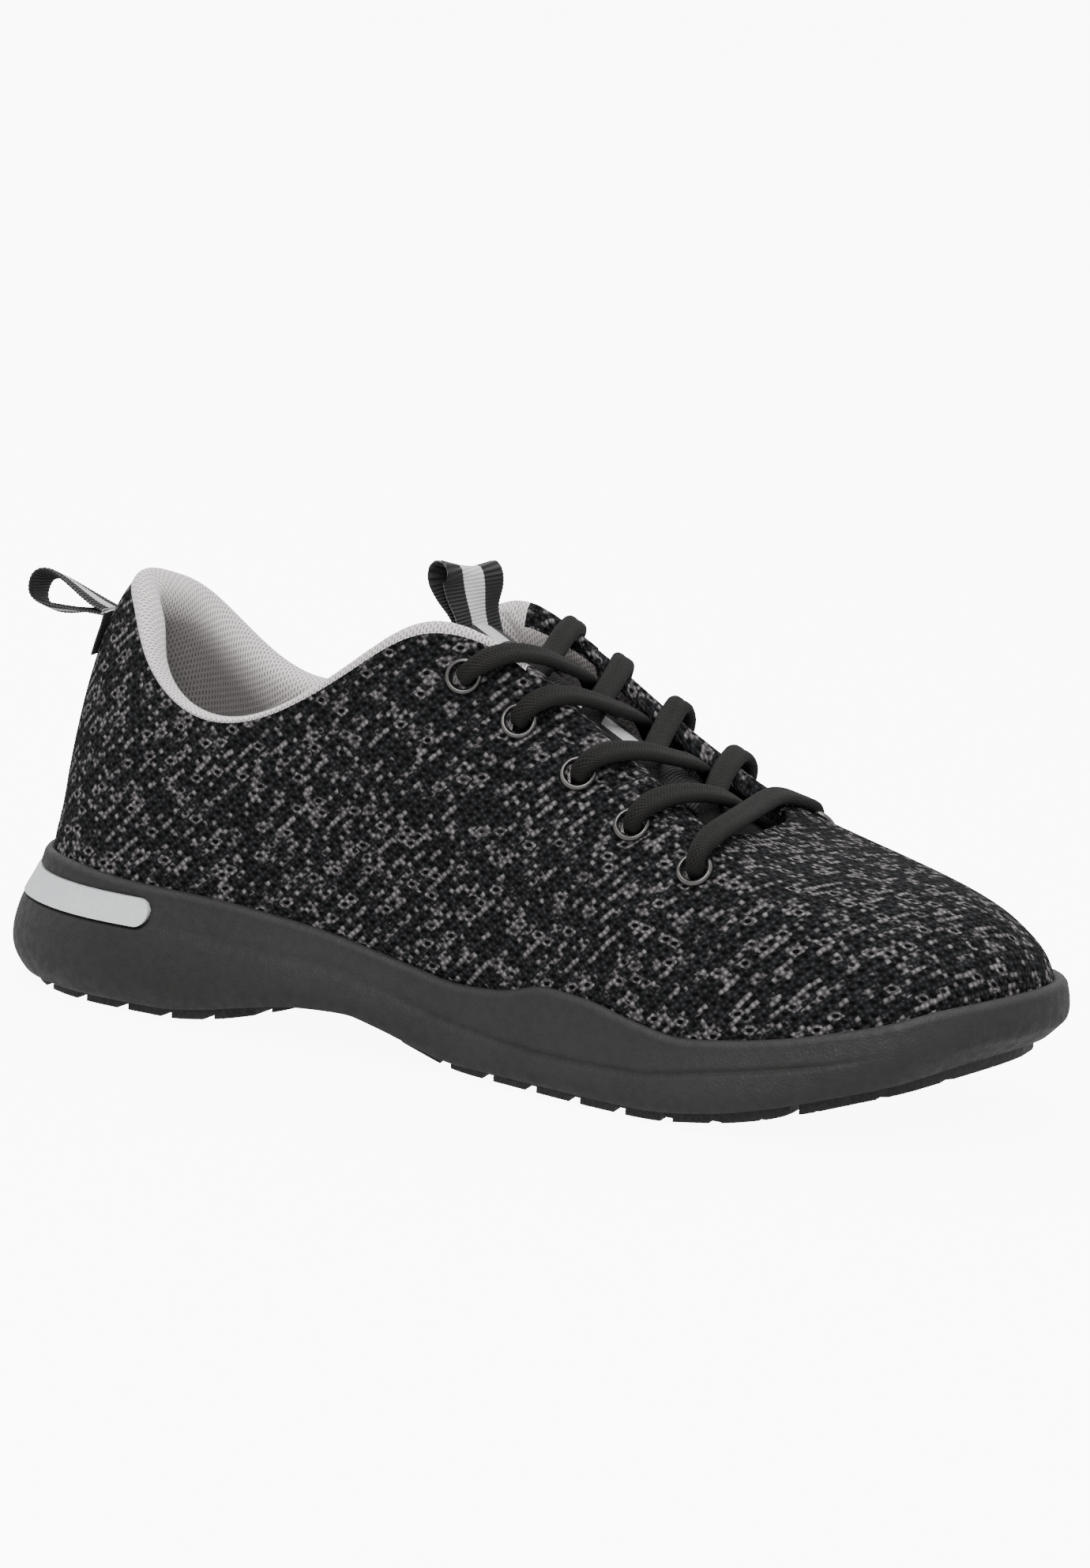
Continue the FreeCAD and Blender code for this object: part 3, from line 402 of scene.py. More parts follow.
def knit_cloth(name, turn):
    """Tight knit with a lattice of small holes, slanting runs of pale stitches and pale rings round holes;
    painted highlight and shade make each stitch lighter in its middle and darker at its edge.
    """
    p = Paint(name, Roughness=0.92, Specular_IOR_Level=0.08)
    x, y, _ = p.split(p.pattern())
    cos, sin = math.cos(math.radians(turn)), math.sin(math.radians(turn))
    along_run = p.calc("ADD", p.calc("MULTIPLY", x, cos), p.calc("MULTIPLY", y, sin))
    across_run = p.calc("SUBTRACT", p.calc("MULTIPLY", y, cos), p.calc("MULTIPLY", x, sin))
    flat = p.combine(along_run, across_run, 0.0)
    stitch = p.cells(flat, 1 / STITCH, 0.45)
    distance, spot = stitch["Distance"], stitch["Position"]
    a, b, _ = p.split(spot)
    luck = p.chance(spot)
    lattice = p.combine(p.calc("MULTIPLY_ADD", across_run, 0.5, along_run), across_run, 0.0)
    holes = p.cells(lattice, 1 / HOLE_PITCH, 0.22)
    hole = p.smooth(holes["Distance"], 0.14, 0.33, 1.0, 0.0)
    stretched = p.combine(p.calc("MULTIPLY", a, 0.17), p.calc("MULTIPLY", b, 0.60), 0.0)
    run = p.noise(stretched, 1.0, 0.0, 0.5, "2D")
    run = p.calc("MULTIPLY_ADD", luck, 0.22, run)
    pale = p.calc("GREATER_THAN", run, RUN_LEVEL)
    ring_far = p.calc("ABSOLUTE", p.calc("SUBTRACT", holes["Distance"], 0.44))
    ring = p.calc("MULTIPLY", p.calc("LESS_THAN", ring_far, 0.19),
                  p.calc("LESS_THAN", p.chance(holes["Position"]), RING_SHARE))
    pale = p.calc("MAXIMUM", pale, ring)
    dome = p.smooth(distance, 0.08, 0.62, 1.0, 0.0)
    tone_and_painted_shade = p.calc("MULTIPLY_ADD", p.chance(p.vector("ADD", spot, (7.0, 3.0, 0.0))), 0.6, 0.5)
    # Painted highlight and shade: each stitch is lighter in its middle and darker towards its edge, as light
    # falls round its curve; the random tone per stitch is the yarn's own.
    tone_and_painted_shade = p.calc("MULTIPLY", tone_and_painted_shade, p.calc("MULTIPLY_ADD", dome, 1.0, 0.38))
    dark = p.vector("MULTIPLY", p.combine(tone_and_painted_shade, tone_and_painted_shade, tone_and_painted_shade), KNIT_DARK)
    light = p.vector("MULTIPLY", p.combine(tone_and_painted_shade, tone_and_painted_shade, tone_and_painted_shade), KNIT_PALE)
    colour = p.mix(pale, dark, light)
    colour = p.mix(p.calc("MULTIPLY", hole, 0.93), colour, grey(0.0012))
    yarn = p.noise(p.pattern(), 4.0, 2.0)
    height = p.calc("MULTIPLY_ADD", yarn, 0.15, dome)
    height = p.calc("SUBTRACT", height, hole)
    return p.finish(colour, normal=p.bump(height, 0.00035))


def spacer_mesh(name, base=(0.88, 0.825, 0.81, 1.0), dash=(0.27, 0.24, 0.26, 1.0), share=1.0, painted_shade=0.0):
    """Pale mesh cloth with staggered upright dashes; painted shade darkens it from 9 to 24 mm down from its
    edge, by the given share.
    """
    p = Paint(name, Roughness=0.85, Sheen_Weight=0.1, Sheen_Roughness=0.5)
    x, y, _ = p.split(p.pattern())
    column = p.calc("DIVIDE", x, 0.85)
    whole = p.calc("FLOOR", column)
    shift = p.calc("MULTIPLY", p.calc("MODULO", p.calc("ABSOLUTE", whole), 2.0), 0.5)
    row = p.calc("ADD", p.calc("DIVIDE", y, 1.7), shift)
    side = p.calc("ABSOLUTE", p.calc("SUBTRACT", p.calc("FRACT", column), 0.5))
    rise = p.calc("ABSOLUTE", p.calc("SUBTRACT", p.calc("FRACT", row), 0.5))
    hole = p.calc("MULTIPLY", p.smooth(side, 0.12, 0.26, 1.0, 0.0), p.smooth(rise, 0.24, 0.38, 1.0, 0.0))
    fibre = p.noise(p.place(), 2600.0, 2.0)
    tint = p.noise(p.place(), 60.0, 2.0)
    dull, duller = (tuple(share_of * c for c in base[:3]) + (1.0,) for share_of in (0.86, 0.8))
    colour = p.mix(p.smooth(fibre, 0.3, 0.7), dull, base)
    colour = p.mix(p.smooth(tint, 0.3, 0.7, 0.0, 0.2), colour, duller)
    colour = p.mix(p.calc("MULTIPLY", hole, 0.9 * share), colour, dash)
    # Painted shade: the cloth turns darker from 9 to 24 mm down from its edge, where the inside of the collar
    # lies in shadow.
    colour = p.mix(p.smooth(y, 9.0, 24.0, 0.0, painted_shade), colour, (0.10, 0.09, 0.095, 1.0))
    height = p.calc("MULTIPLY_ADD", fibre, 0.25, p.calc("SUBTRACT", 1.0, p.calc("MULTIPLY", hole, share)))
    return p.finish(colour, normal=p.bump(height, 0.00025))


def braid(name):
    """A round-braided lace: fine slanting threads either way."""
    p = Paint(name, Roughness=0.8, Specular_IOR_Level=0.22)
    x, y, _ = p.split(p.pattern())
    one = p.calc("SINE", p.calc("MULTIPLY", p.calc("ADD", x, y), 2 * math.pi / 0.95))
    two = p.calc("SINE", p.calc("MULTIPLY", p.calc("SUBTRACT", x, y), 2 * math.pi / 0.95))
    plait = p.calc("MAXIMUM", one, two)
    fibre = p.noise(p.place(), 3000.0, 2.0)
    height = p.calc("MULTIPLY_ADD", fibre, 0.9, plait)
    low, high = (0.0050, 0.0047, 0.0044, 1.0), (0.0165, 0.0157, 0.0146, 1.0)
    colour = p.mix(p.smooth(height, -0.4, 1.8), low, high)
    return p.finish(colour, normal=p.bump(height, 0.00016))


def webbing(name, half_stripe):
    """Grosgrain tape with a pale stripe down its middle; the pattern's second way is across the tape."""
    p = Paint(name, Roughness=0.7, Sheen_Weight=0.08, Sheen_Roughness=0.5)
    x, y, _ = p.split(p.pattern())
    rib = p.calc("SINE", p.calc("MULTIPLY", x, 2 * math.pi / 0.9))
    thread = p.noise(p.place(), 2500.0, 2.0)
    stripe = p.smooth(p.calc("ABSOLUTE", y), half_stripe - 0.12, half_stripe + 0.12, 1.0, 0.0)
    low, high = (0.0022, 0.0023, 0.0028, 1.0), (0.0085, 0.0088, 0.0102, 1.0)
    cloth = p.mix(p.smooth(rib, -0.8, 0.9), low, high)
    band = p.mix(p.smooth(thread, 0.35, 0.65), (0.50, 0.50, 0.505, 1.0), (0.62, 0.62, 0.625, 1.0))
    rib_height = p.calc("MULTIPLY", rib, p.calc("SUBTRACT", 1.0, p.calc("MULTIPLY", stripe, 0.85)))
    height = p.calc("MULTIPLY_ADD", thread, 0.4, rib_height)
    return p.finish(p.mix(stripe, cloth, band), normal=p.bump(height, 0.00016))


def moulded_foam(name):
    """Moulded sole foam with a fine grain, paler along the rim, where the pattern's height is 0: part wear,
    part painted highlight.
    """
    p = Paint(name, Roughness=0.62, Specular_IOR_Level=0.4)
    _, down, _ = p.split(p.pattern())
    grain = p.cells(p.place(), 1500.0, 1.0, "3D")["Distance"]
    soft = p.noise(p.place(), 420.0, 3.0)
    blotch = p.noise(p.place(), 35.0, 2.0)
    # Part wear, part painted highlight: the foam is paler along the rim's top.
    rim = p.smooth(down, -1.7, -0.2)
    low, high = (0.0125, 0.0120, 0.0118, 1.0), (0.0165, 0.0158, 0.0156, 1.0)
    colour = p.mix(p.smooth(blotch, 0.35, 0.65), low, high)
    colour = p.mix(p.calc("MULTIPLY", rim, 0.55), colour, (0.030, 0.0287, 0.0284, 1.0))
    height = p.calc("MULTIPLY_ADD", soft, 0.8, p.calc("MULTIPLY", grain, 0.7))
    rough = p.smooth(soft, 0.3, 0.7, 0.55, 0.72)
    return p.finish(colour, rough, p.bump(height, 0.00018))


def plain_grain(name, low, high, scale, depth, rough=(0.6, 0.8), **constants):
    """A moulded or woven finish: two close tones and a fine grain."""
    p = Paint(name, **constants)
    grain = p.noise(p.place(), scale, 3.0, 0.6)
    blotch = p.noise(p.place(), scale * 0.06, 2.0)
    share = p.calc("MULTIPLY_ADD", blotch, 0.5, p.calc("MULTIPLY", grain, 0.5))
    return p.finish(p.mix(p.smooth(share, 0.35, 0.65), low, high), p.smooth(grain, 0.3, 0.7, *rough),
                    p.bump(grain, depth))


look = {
    "knit": knit_cloth("knit", GRAIN_TURN),
    "knit_tongue": knit_cloth("knit_tongue", 40.0),
    "mesh": spacer_mesh("spacer_mesh", painted_shade=0.74),
    "lace": braid("lace_braid"),
    "tongue_tape": webbing("tongue_tape", 2.75),
    "heel_tape": webbing("heel_tape", 1.75),
    "midsole": moulded_foam("midsole_foam"),
    "rubber": plain_grain("outsole_rubber", grey(0.004), grey(0.008), 900.0, 0.0002),
    "strip": plain_grain("strip_plastic", (0.60, 0.62, 0.635, 1.0), (0.68, 0.70, 0.71, 1.0), 700.0, 0.00005,
                         (0.38, 0.5)),
    "metal": plain_grain("eyelet_metal", (0.085, 0.082, 0.080, 1.0), (0.12, 0.116, 0.112, 1.0), 1200.0,
                         0.00002, (0.16, 0.30), Metallic=0.85, Coat_Weight=0.6, Coat_Roughness=0.12),
    "stiffener": plain_grain("stiffener_sheet", grey(0.25, 1.05), grey(0.32, 1.05), 900.0, 0.0001),
    "strobel": plain_grain("strobel_fabric", grey(0.45, 1.03), grey(0.55, 1.03), 1500.0, 0.0002, (0.8, 0.95)),
    "insole": spacer_mesh("insole_fabric", (0.30, 0.285, 0.28, 1.0), (0.12, 0.11, 0.115, 1.0), 0.7),
    "aglet": plain_grain("aglet_film", grey(0.016), grey(0.024), 500.0, 0.00003, (0.2, 0.32)),
}


# ---------------------------------------------------------------- helpers for the pieces
def dress(obj, body, slot, material, *nodes):
    """Gives a piece its materials, the body it rides on and the solids it stands for; slot, its finish, is
    not used.
    """
    for one in material if isinstance(material, (list, tuple)) else [material]:
        obj.data.materials.append(one)
    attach(obj, body)
    if nodes:
        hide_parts(*nodes)
    return obj


def reworked(obj, change):
    """Applies a change to a piece's mesh and points every face outward."""
    work = bmesh.new()
    work.from_mesh(obj.data)
    change(work)
    bmesh.ops.recalc_face_normals(work, faces=work.faces)
    work.to_mesh(obj.data)
    work.free()
    obj.data.shade_smooth()
    return obj


def weld(obj, distance=0.00002):
    """Joins points that coincide."""
    def change(work):
        bmesh.ops.remove_doubles(work, verts=work.verts, dist=distance)
        bmesh.ops.dissolve_degenerate(work, edges=work.edges, dist=distance)
    return reworked(obj, change)


def close_ends(obj, nu, nv):
    """Fills the two open ends of a tube made by grid_piece."""
    def change(work):
        work.verts.ensure_lookup_table()
        for start in (0, (nu - 1) * nv):
            work.faces.new([work.verts[start + j] for j in range(nv)])
    return reworked(obj, change)


def joined(name, parts):
    """Several mesh objects as one."""
    bpy.ops.object.select_all(action="DESELECT")
    for part in parts:
        part.select_set(True)
    bpy.context.view_layer.objects.active = parts[0]
    bpy.ops.object.join()
    parts[0].name = parts[0].data.name = name
    return parts[0]


def ease(value, low, high):
    t = np.clip((np.asarray(value, float) - low) / (high - low), 0, 1)
    return t * t * (3 - 2 * t)


PUFF_FRAMES, PUFF_SCALE, PUFF_PRESSURE = 20, 10.0, 4.0


def puff(obj, held, cap):
    """Swells a piece as cloth under inside pressure. Held points stay, and none moves over cap metres.
    The cloth works on a mesh PUFF_SCALE times as large."""
    mesh = obj.data
    rest = np.array([v.co for v in mesh.vertices], float)
    mesh.transform(Matrix.Scale(PUFF_SCALE, 4))
    group = obj.vertex_groups.new(name="held")
    for index, weight in enumerate(held):
        if weight > 0:
            group.add([index], float(weight), "REPLACE")
    cloth = obj.modifiers.new("puff", "CLOTH")
    settings = cloth.settings
    settings.quality = 4
    settings.mass = 0.05
    settings.vertex_group_mass = "held"
    settings.use_pressure = True
    settings.uniform_pressure_force = PUFF_PRESSURE
    settings.effector_weights.gravity = 0.0
    settings.tension_stiffness = settings.compression_stiffness = 12.0
    settings.bending_stiffness = 0.6
    cloth.collision_settings.use_self_collision = False
    cloth.point_cache.frame_start, cloth.point_cache.frame_end = 1, PUFF_FRAMES
    scene = bpy.context.scene
    for frame_number in range(1, PUFF_FRAMES + 1):
        scene.frame_set(frame_number)
    shown = obj.evaluated_get(bpy.context.evaluated_depsgraph_get())
    after = np.array([v.co for v in shown.data.vertices], float) / PUFF_SCALE
    obj.modifiers.remove(cloth)
    scene.frame_set(1)
    move = after - rest
    far = np.linalg.norm(move, axis=1, keepdims=True)
    limit = cap * np.tanh(far / cap) / np.maximum(far, 1e-12)
    mesh.vertices.foreach_set("co", (rest + move * limit).astype("f").ravel())
    mesh.update()
    print("puff", obj.name, "moved", round(float(far.max()) * 1000, 2), "mm at most")


# ---------------------------------------------------------------- knitted upper
def flat_pattern(columns):
    """The upper laid flat from heel seam to heel seam by a conformal unwrap: a coarse grid in millimetres."""
    nu, nv = 84, 12
    points = surface(columns, np.linspace(0, COUNT, nu + 1), np.linspace(0, 1, nv + 1))
    obj = grid_piece("pattern", points)
    bpy.context.view_layer.objects.active = obj
    obj.select_set(True)
    bpy.ops.object.mode_set(mode="EDIT")
    bpy.ops.mesh.select_all(action="SELECT")
    bpy.ops.uv.unwrap(method="CONFORMAL", margin=0.0)
    bpy.ops.object.mode_set(mode="OBJECT")
    mesh = obj.data
    flat = np.zeros(len(mesh.loops) * 2, "f")
    mesh.uv_layers["surface"].data.foreach_get("uv", flat)
    corner = np.zeros(len(mesh.loops), int)
    mesh.loops.foreach_get("vertex_index", corner)
    grid = np.zeros(((nu + 1) * (nv + 1), 2))
    grid[corner] = flat.reshape(-1, 2)
    grid = grid.reshape(nu + 1, nv + 1, 2)
    bpy.data.objects.remove(obj)
    real, drawn = (gaps(one).sum() + gaps(one, 1).sum() for one in (points, grid))
    grid = evened(points, grid * (real / drawn))
    rise = grid[nu // 2, -1] - grid[nu // 2, 0]
    turn = math.pi - math.atan2(rise[1], rise[0])
    cos, sin = math.cos(turn), math.sin(turn)
    grid = grid @ np.array([[cos, sin], [-sin, cos]])
    grid -= grid[nu // 2, 0]
    if grid[nu // 4, 0, 1] > 0:
        grid[:, :, 1] *= -1
    return grid


def evened(points, flat, rounds=40):
    """A flattened grid made as true to its real lengths as it can be, triangle by triangle."""
    nu, nv = points.shape[:2]
    index = np.arange(nu * nv).reshape(nu, nv)
    a, b, c, d = index[:-1, :-1], index[1:, :-1], index[1:, 1:], index[:-1, 1:]
    corners = np.concatenate([np.stack(t, -1).reshape(-1, 3) for t in ((a, b, c), (a, c, d))])
    p = points.reshape(-1, 3)[corners]
    one, two = p[:, 1] - p[:, 0], p[:, 2] - p[:, 0]
    base = np.linalg.norm(one, axis=1)
    ahead = np.sum(two * one, 1) / base
    height = np.sqrt(np.maximum(np.sum(two * two, 1) - ahead**2, 1e-9))
    true = np.zeros((len(corners), 3, 2))
    true[:, 1, 0], true[:, 2, 0], true[:, 2, 1] = base, ahead, height
    total = np.zeros((nu * nv, nu * nv))
    weights = []
    for i, j, k in ((0, 1, 2), (1, 2, 0), (2, 0, 1)):
        u, v = true[:, i] - true[:, k], true[:, j] - true[:, k]
        w = np.maximum(np.sum(u * v, 1) / (base * height), 0.02)
        weights.append((i, j, w))
        for x, y, sign in ((i, i, 1), (j, j, 1), (i, j, -1), (j, i, -1)):
            np.add.at(total, (corners[:, x], corners[:, y]), sign * w)
    total[0, 0] += 1.0
    inverse = np.linalg.inv(total)
    spots = flat.reshape(-1, 2).copy()
    for _ in range(rounds):
        here = spots[corners]
        match = sum(w[:, None, None] * (here[:, i] - here[:, j])[:, :, None]
                    * (true[:, i] - true[:, j])[:, None, :] for i, j, w in weights)
        left, _, right = np.linalg.svd(match)
        flip = np.sign(np.linalg.det(left @ right))
        left[:, :, 1] *= flip[:, None]
        turn = left @ right
        pull = np.zeros_like(spots)
        for i, j, w in weights:
            step = w[:, None] * np.einsum("tab,tb->ta", turn, true[:, i] - true[:, j])
            np.add.at(pull, corners[:, i], step)
            np.add.at(pull, corners[:, j], -step)
        pull[0] += spots[0]
        spots = inverse @ pull
    return spots.reshape(nu, nv, 2)


def finer(grid, nu, v):
    """A coarse grid read at nu + 1 even places one way and at v the other way."""
    u_here, v_here = np.linspace(0, 1, grid.shape[0]), np.linspace(0, 1, grid.shape[1])
    u = np.linspace(0, 1, nu + 1)
    first = np.stack([[np.interp(u, u_here, grid[:, j, k]) for j in range(grid.shape[1])]
                      for k in (0, 1)])
    return np.stack([[np.interp(v, v_here, first[k][:, i]) for i in range(nu + 1)] for k in (0, 1)], 2)


KNIT_U, KNIT_V = 448, 84
KNIT_WHERE = np.arange(KNIT_U) * COUNT / KNIT_U
PATTERN = flat_pattern(layer(0.0))


def at_upper(where, height):
    """A point on the upper's outer face and its outward direction."""
    heights = np.clip([height - 0.005, height, height + 0.005], 0, 1)
    patch = surface(layer(0.0), [where - 0.02, where, where + 0.02], heights)
    normal = unit(np.cross(patch[2, 1] - patch[0, 1], patch[1, 2] - patch[1, 0]))
    if normal @ (patch[1, 1] - np.array([patch[1, 1, 0], 0, 40.0])) < 0:
        normal = -normal
    return patch[1, 1], normal


HOLES = {"lateral": [at_upper(where, height) for where, height in EYELETS],
         "medial": [at_upper(COUNT - where, height) for where, height in EYELETS]}
HOLE_CENTRES = np.array([point for side in HOLES.values() for point, _ in side])


def to_nearest(points, centres):
    flat = points.reshape(-1, 3)
    far = np.linalg.norm(flat[:, None] - centres[None], axis=2)
    return far.min(1).reshape(points.shape[:-1])


def outward(points, closed=True):
    """Normals of a layer of the upper, turned outward."""
    normals = grid_normals(points, closed)
    middle = np.stack([points[..., 0], 0 * points[..., 1], 0 * points[..., 2] + 30], -1)
    flips = np.sign(np.sum(normals * (points - middle), -1, keepdims=True))
    return normals * np.sign(flips.sum())


EYELET_DIP, HEM_BULGE = 0.5, 1.5                 # the knit's dip at an eyelet and its bulge above the rim
KNIT_HOLE, LINING_HOLE = 3.2, 3.9                # radii of the holes that the eyelets go through
THROAT_REACH, THROAT_DROP = 6.0, 0.17            # the throat edge's reach over the tongue, and its slope


def make_knit():
    """The knitted upper: its outer face, the turned edge over the tongue and a short way down inside."""
    v = np.linspace(0, 1, KNIT_V)
    points = surface(layer(0.0), KNIT_WHERE, v)
    normals = outward(points)
    far = to_nearest(points, HOLE_CENTRES)
    points = points - normals * (EYELET_DIP * (1 - ease(far, 4.0, 8.0)))[..., None]
    points = points + normals * (HEM_BULGE * ease(v, 0.01, 0.08) * (1 - ease(v, 0.08, 0.3)))[None, :, None]
    inner = surface(layer(KNIT), KNIT_WHERE, np.array([1.0, 0.985, 0.96]))
    # At the throat the edge reaches on over the tongue, bending down a little.
    edge, rise = points[:, -1], unit(points[:, -1] - points[:, -3])
    inward = unit(rise * (1, 1, 0))
    from_heel = np.minimum(KNIT_WHERE, COUNT - KNIT_WHERE)
    reach = THROAT_REACH * ease(from_heel, CORNER - 0.6, CORNER + 0.9) * (1 - ease(from_heel, 11.4, 12.9))
    reach = reach[:, None]
    middle, end = edge + rise * 0.45 * reach, edge + inward * reach - UP * THROAT_DROP * reach
    share = np.linspace(0, 1, 7)[1:, None, None]
    flap = ((1 - share)**2 * edge + 2 * share * (1 - share) * middle + share**2 * end).transpose(1, 0, 2)
    tip = unit(flap[:, -1] - flap[:, -2] + rise * 1e-3)
    under = np.concatenate([flap[:, ::-1], points[:, -1:]], 1) - UP * KNIT
    blend = np.linspace(0, 1, under.shape[1])[None, :, None]
    under = under * (1 - blend) + inner[:, :1] * blend
    fold = 0.5 * (flap[:, -1:] + under[:, :1]) + tip[:, None] * 0.55
    grid = np.concatenate([points, flap, fold, under[:, :-1], inner], 1)
    uv = finer(PATTERN, KNIT_U, v)
    step = unit(uv[:, -1:] - uv[:, -2:-1])
    beyond = grid[:, KNIT_V - 1:]
    run = np.cumsum(gaps(beyond, 1), 1)
    run = np.concatenate([run, run[:1]])[..., None]
    uv = np.concatenate([uv, uv[:, -1:] + step * run], 1)

    def keep(i, j):
        return j >= KNIT_V - 2 or far[i, j] > KNIT_HOLE
    return grid_piece("upper_knit", grid, closed=True, uv=uv, keep=keep)


# ---------------------------------------------------------------- padded collar
ROLL = [3.0, 2.4, 1.5, 0.8, 0.6, 0.8, 1.5, 2.0, 1.0]     # the rolled edge's height at stations from the heel


def collar_columns():
    """Control points of the pale cloth at every station, from the knit's edge over the roll and inside."""
    knit, deep = layer(0.0), padded_layer(LINING)
    heights = np.full(COUNT, ROLL[-1])
    for i, height in enumerate(ROLL):
        heights[i] = heights[-i] = height
    heights = heights[:, None]
    full = np.clip((STATIONS[:, 10:11] - 2.2) / 5.0, 0, 1)
    top, inner = knit[:, 3], deep[:, 3]
    rise = unit(knit[:, 3] - knit[:, 2])
    out = unit(top - inner)
    start = top - rise * (0.4 + 0.2 * heights) + out * 0.15
    shoulder = inner - out * (0.8 + 1.2 * full) - rise * (1.0 + 2.0 * full)
    belly = 0.62 * deep[:, 3] + 0.38 * deep[:, 2] - out * (0.4 + 1.4 * full)
    roll = [start + out * 0.7 + rise * (0.4 + 0.5 * heights), top + rise * 1.5 * heights,
            inner + out * 0.2 + rise * 1.3 * heights]
    return np.stack([start, *roll, shoulder, belly, deep[:, 2], deep[:, 1], deep[:, 0]], 1)


PALE_FROM = COUNT - 7.15                         # in front of this station the medial roll is dark knit
ROLL_ROWS = 40


def make_collar():
    """The mesh lining of the padded collar, as one cloth that rolls over the opening's edge."""
    where = np.linspace(COUNT - CORNER - 0.3, COUNT + CORNER + 0.3, 321)
    heights = np.concatenate([np.linspace(0, 0.5, ROLL_ROWS, endpoint=False), np.linspace(0.5, 0.99, 34)])
    points = surface(collar_columns(), where, heights)
    obj = grid_piece("collar", points, slots=lambda i, j: int(where[i] < PALE_FROM and j < ROLL_ROWS))
    held = np.ones(points.shape[:2])
    held[4:-4, 8:52] = 0.0                       # the roll and the padded part are free to swell
    puff(obj, held.ravel(), 0.0010)
    return obj


def make_vamp_lining():
    """The thin lining of the forefoot, with holes for the eyelets."""
    where = np.linspace(CORNER + 0.35, COUNT - CORNER - 0.35, 161)
    points = surface(padded_layer(LINING - 0.3), where, np.linspace(0.975, 0.02, 40))
    far = to_nearest(points, HOLE_CENTRES)
    return grid_piece("vamp_lining_sheet", points, keep=lambda i, j: far[i, j] > LINING_HOLE)


# ---------------------------------------------------------------- tongue
def tongue_grid(depth, pad, inset=0.0, half_width=None, rows=TONGUE):
    """Control points of one face of the tongue, as in the solid model."""
    rows = np.array(rows, float)
    spine = np.stack([rows[:, 0], 0 * rows[:, 0], rows[:, 1]], 1)
    way = unit(np.concatenate([spine[1:2] - spine[:1], spine[2:] - spine[:-2], spine[-1:] - spine[-2:-1]]))
    normal = np.stack([way[:, 2], 0 * way[:, 0], -way[:, 0]], 1)
    grid = []
    for place, square in PARABOLA:
        half = (rows[:, 2] - inset) if half_width is None else np.full(len(rows), half_width)
        y = half * (2 * place / 3 - 1)
        y_squared = half**2 * (4 * square / 9 - 4 * place / 3 + 1)
        sunk = depth + pad * rows[:, 3] * (1 - 0.6 * y_squared / rows[:, 2]**2)
        point = spine + np.stack([0 * y, y, -TONGUE_ARCH * y_squared], 1) - normal * sunk[:, None]
        grid.append(point)
    return np.stack(grid, 1)


def sheet_points(grid, u, v):
    """Points of a clamped cubic surface on an open control grid."""
    across_first = clamped(grid, v)
    return clamped(across_first.transpose(1, 0, 2), u).transpose(1, 0, 2)


def make_tongue():
    """The padded tongue: knit above, pale mesh below, with a rounded rim."""
    u = np.linspace(0, 1, 110)
    v = np.linspace(0.015, 0.985, 40)
    top = sheet_points(tongue_grid(0.15, 0.0), u, v)
    low = sheet_points(tongue_grid(2.2, 3.2, inset=0.3), u, v)
    right = 0.5 * (top[:, -1:] + low[:, -1:]) + np.array([0, 1.0, 0])
    left = 0.5 * (top[:, :1] + low[:, :1]) - np.array([0, 1.0, 0])
    ring = np.concatenate([top, right, low[:, ::-1], left], 1)
    count = ring.shape[1]
    closing = []
    for share, push in ((0.72, 0.7), (0.3, 1.15), (0.0, 1.25)):
        for end, sign in ((0, -1), (-1, 1)):
            mirror = np.concatenate([low[end], right[end], top[end][::-1], left[end]])
            centre = 0.5 * (ring[end] + mirror)
            ahead = unit(ring[end] - ring[end - 1 if sign > 0 else 1])
            closing.append((end, centre + (ring[end] - centre) * share + ahead * push))
    starts = [rows for end, rows in closing if end == 0][::-1]
    ends = [rows for end, rows in closing if end == -1]
    points = np.concatenate([np.array(starts), ring, np.array(ends)])
    obj = grid_piece("tongue", points, tube=True, slots=lambda i, j: int(len(v) <= j < count - 1))
    held = np.zeros(points.shape[:2])
    held[:6] = held[:, 13:27] = 1.0              # the stitched base and the strip under the tape
    puff(obj, held.ravel(), 0.0008)
    return weld(obj)


NO_STRIPE = 40.0                                 # added to the place across a tape, it leaves the stripe out


def make_tongue_tape():
    """The tape sewn down the tongue's middle; its stripe shows only between the first strands of the lace."""
    u, across = np.linspace(0, 1, 160), np.linspace(0, 1, 17)
    top, low = (sheet_points(tongue_grid(depth, 0.0, half_width=7.95, rows=TONGUE[1:]), u, across)
                for depth in (-0.95, -0.12))
    spread = np.concatenate([np.linspace(-8, 8, 17), np.linspace(8, -8, 17), [-8]])
    uv = tape_uv(grid_lengths(top, False)[:, 0, 0], spread)
    forward = top[:, 8, 0]
    uv[(forward > 168) | ((forward > 124) & (forward < 141)), :, 1] += NO_STRIPE
    obj = grid_piece("tongue_tape", np.concatenate([top, low[:, ::-1]], 1), uv=uv, tube=True)
    return close_ends(obj, len(u), 34)


# ---------------------------------------------------------------- eyelets
def make_eyelets(side):
    """Five glossy rings with a rolled lip and a barrel through the layers."""
    profile = [(3.05, -5.2), (3.1, -0.2), (3.14, 0.5), (3.3, 0.95), (3.62, 1.2), (3.95, 1.16), (4.28, 0.92),
               (4.46, 0.55), (4.5, 0.2), (4.35, -0.15), (3.5, -0.3), (3.35, -5.2)]
    angles = np.linspace(0, 2 * math.pi, 48, endpoint=False)
    parts = []
    for number, (centre, normal) in enumerate(HOLES[side]):
        one = unit(np.cross(normal, [0.3, 1.0, 0.2]))
        two = np.cross(normal, one)
        spin = np.cos(angles)[:, None] * one + np.sin(angles)[:, None] * two
        points = np.stack([centre + spin * radius + normal * (height - 0.35)
                           for radius, height in profile], 1)
        parts.append(grid_piece(f"ring_{side}_{number}", points, closed=True, tube=True))
    return weld(joined(f"eyelet_rings_{side}", parts))


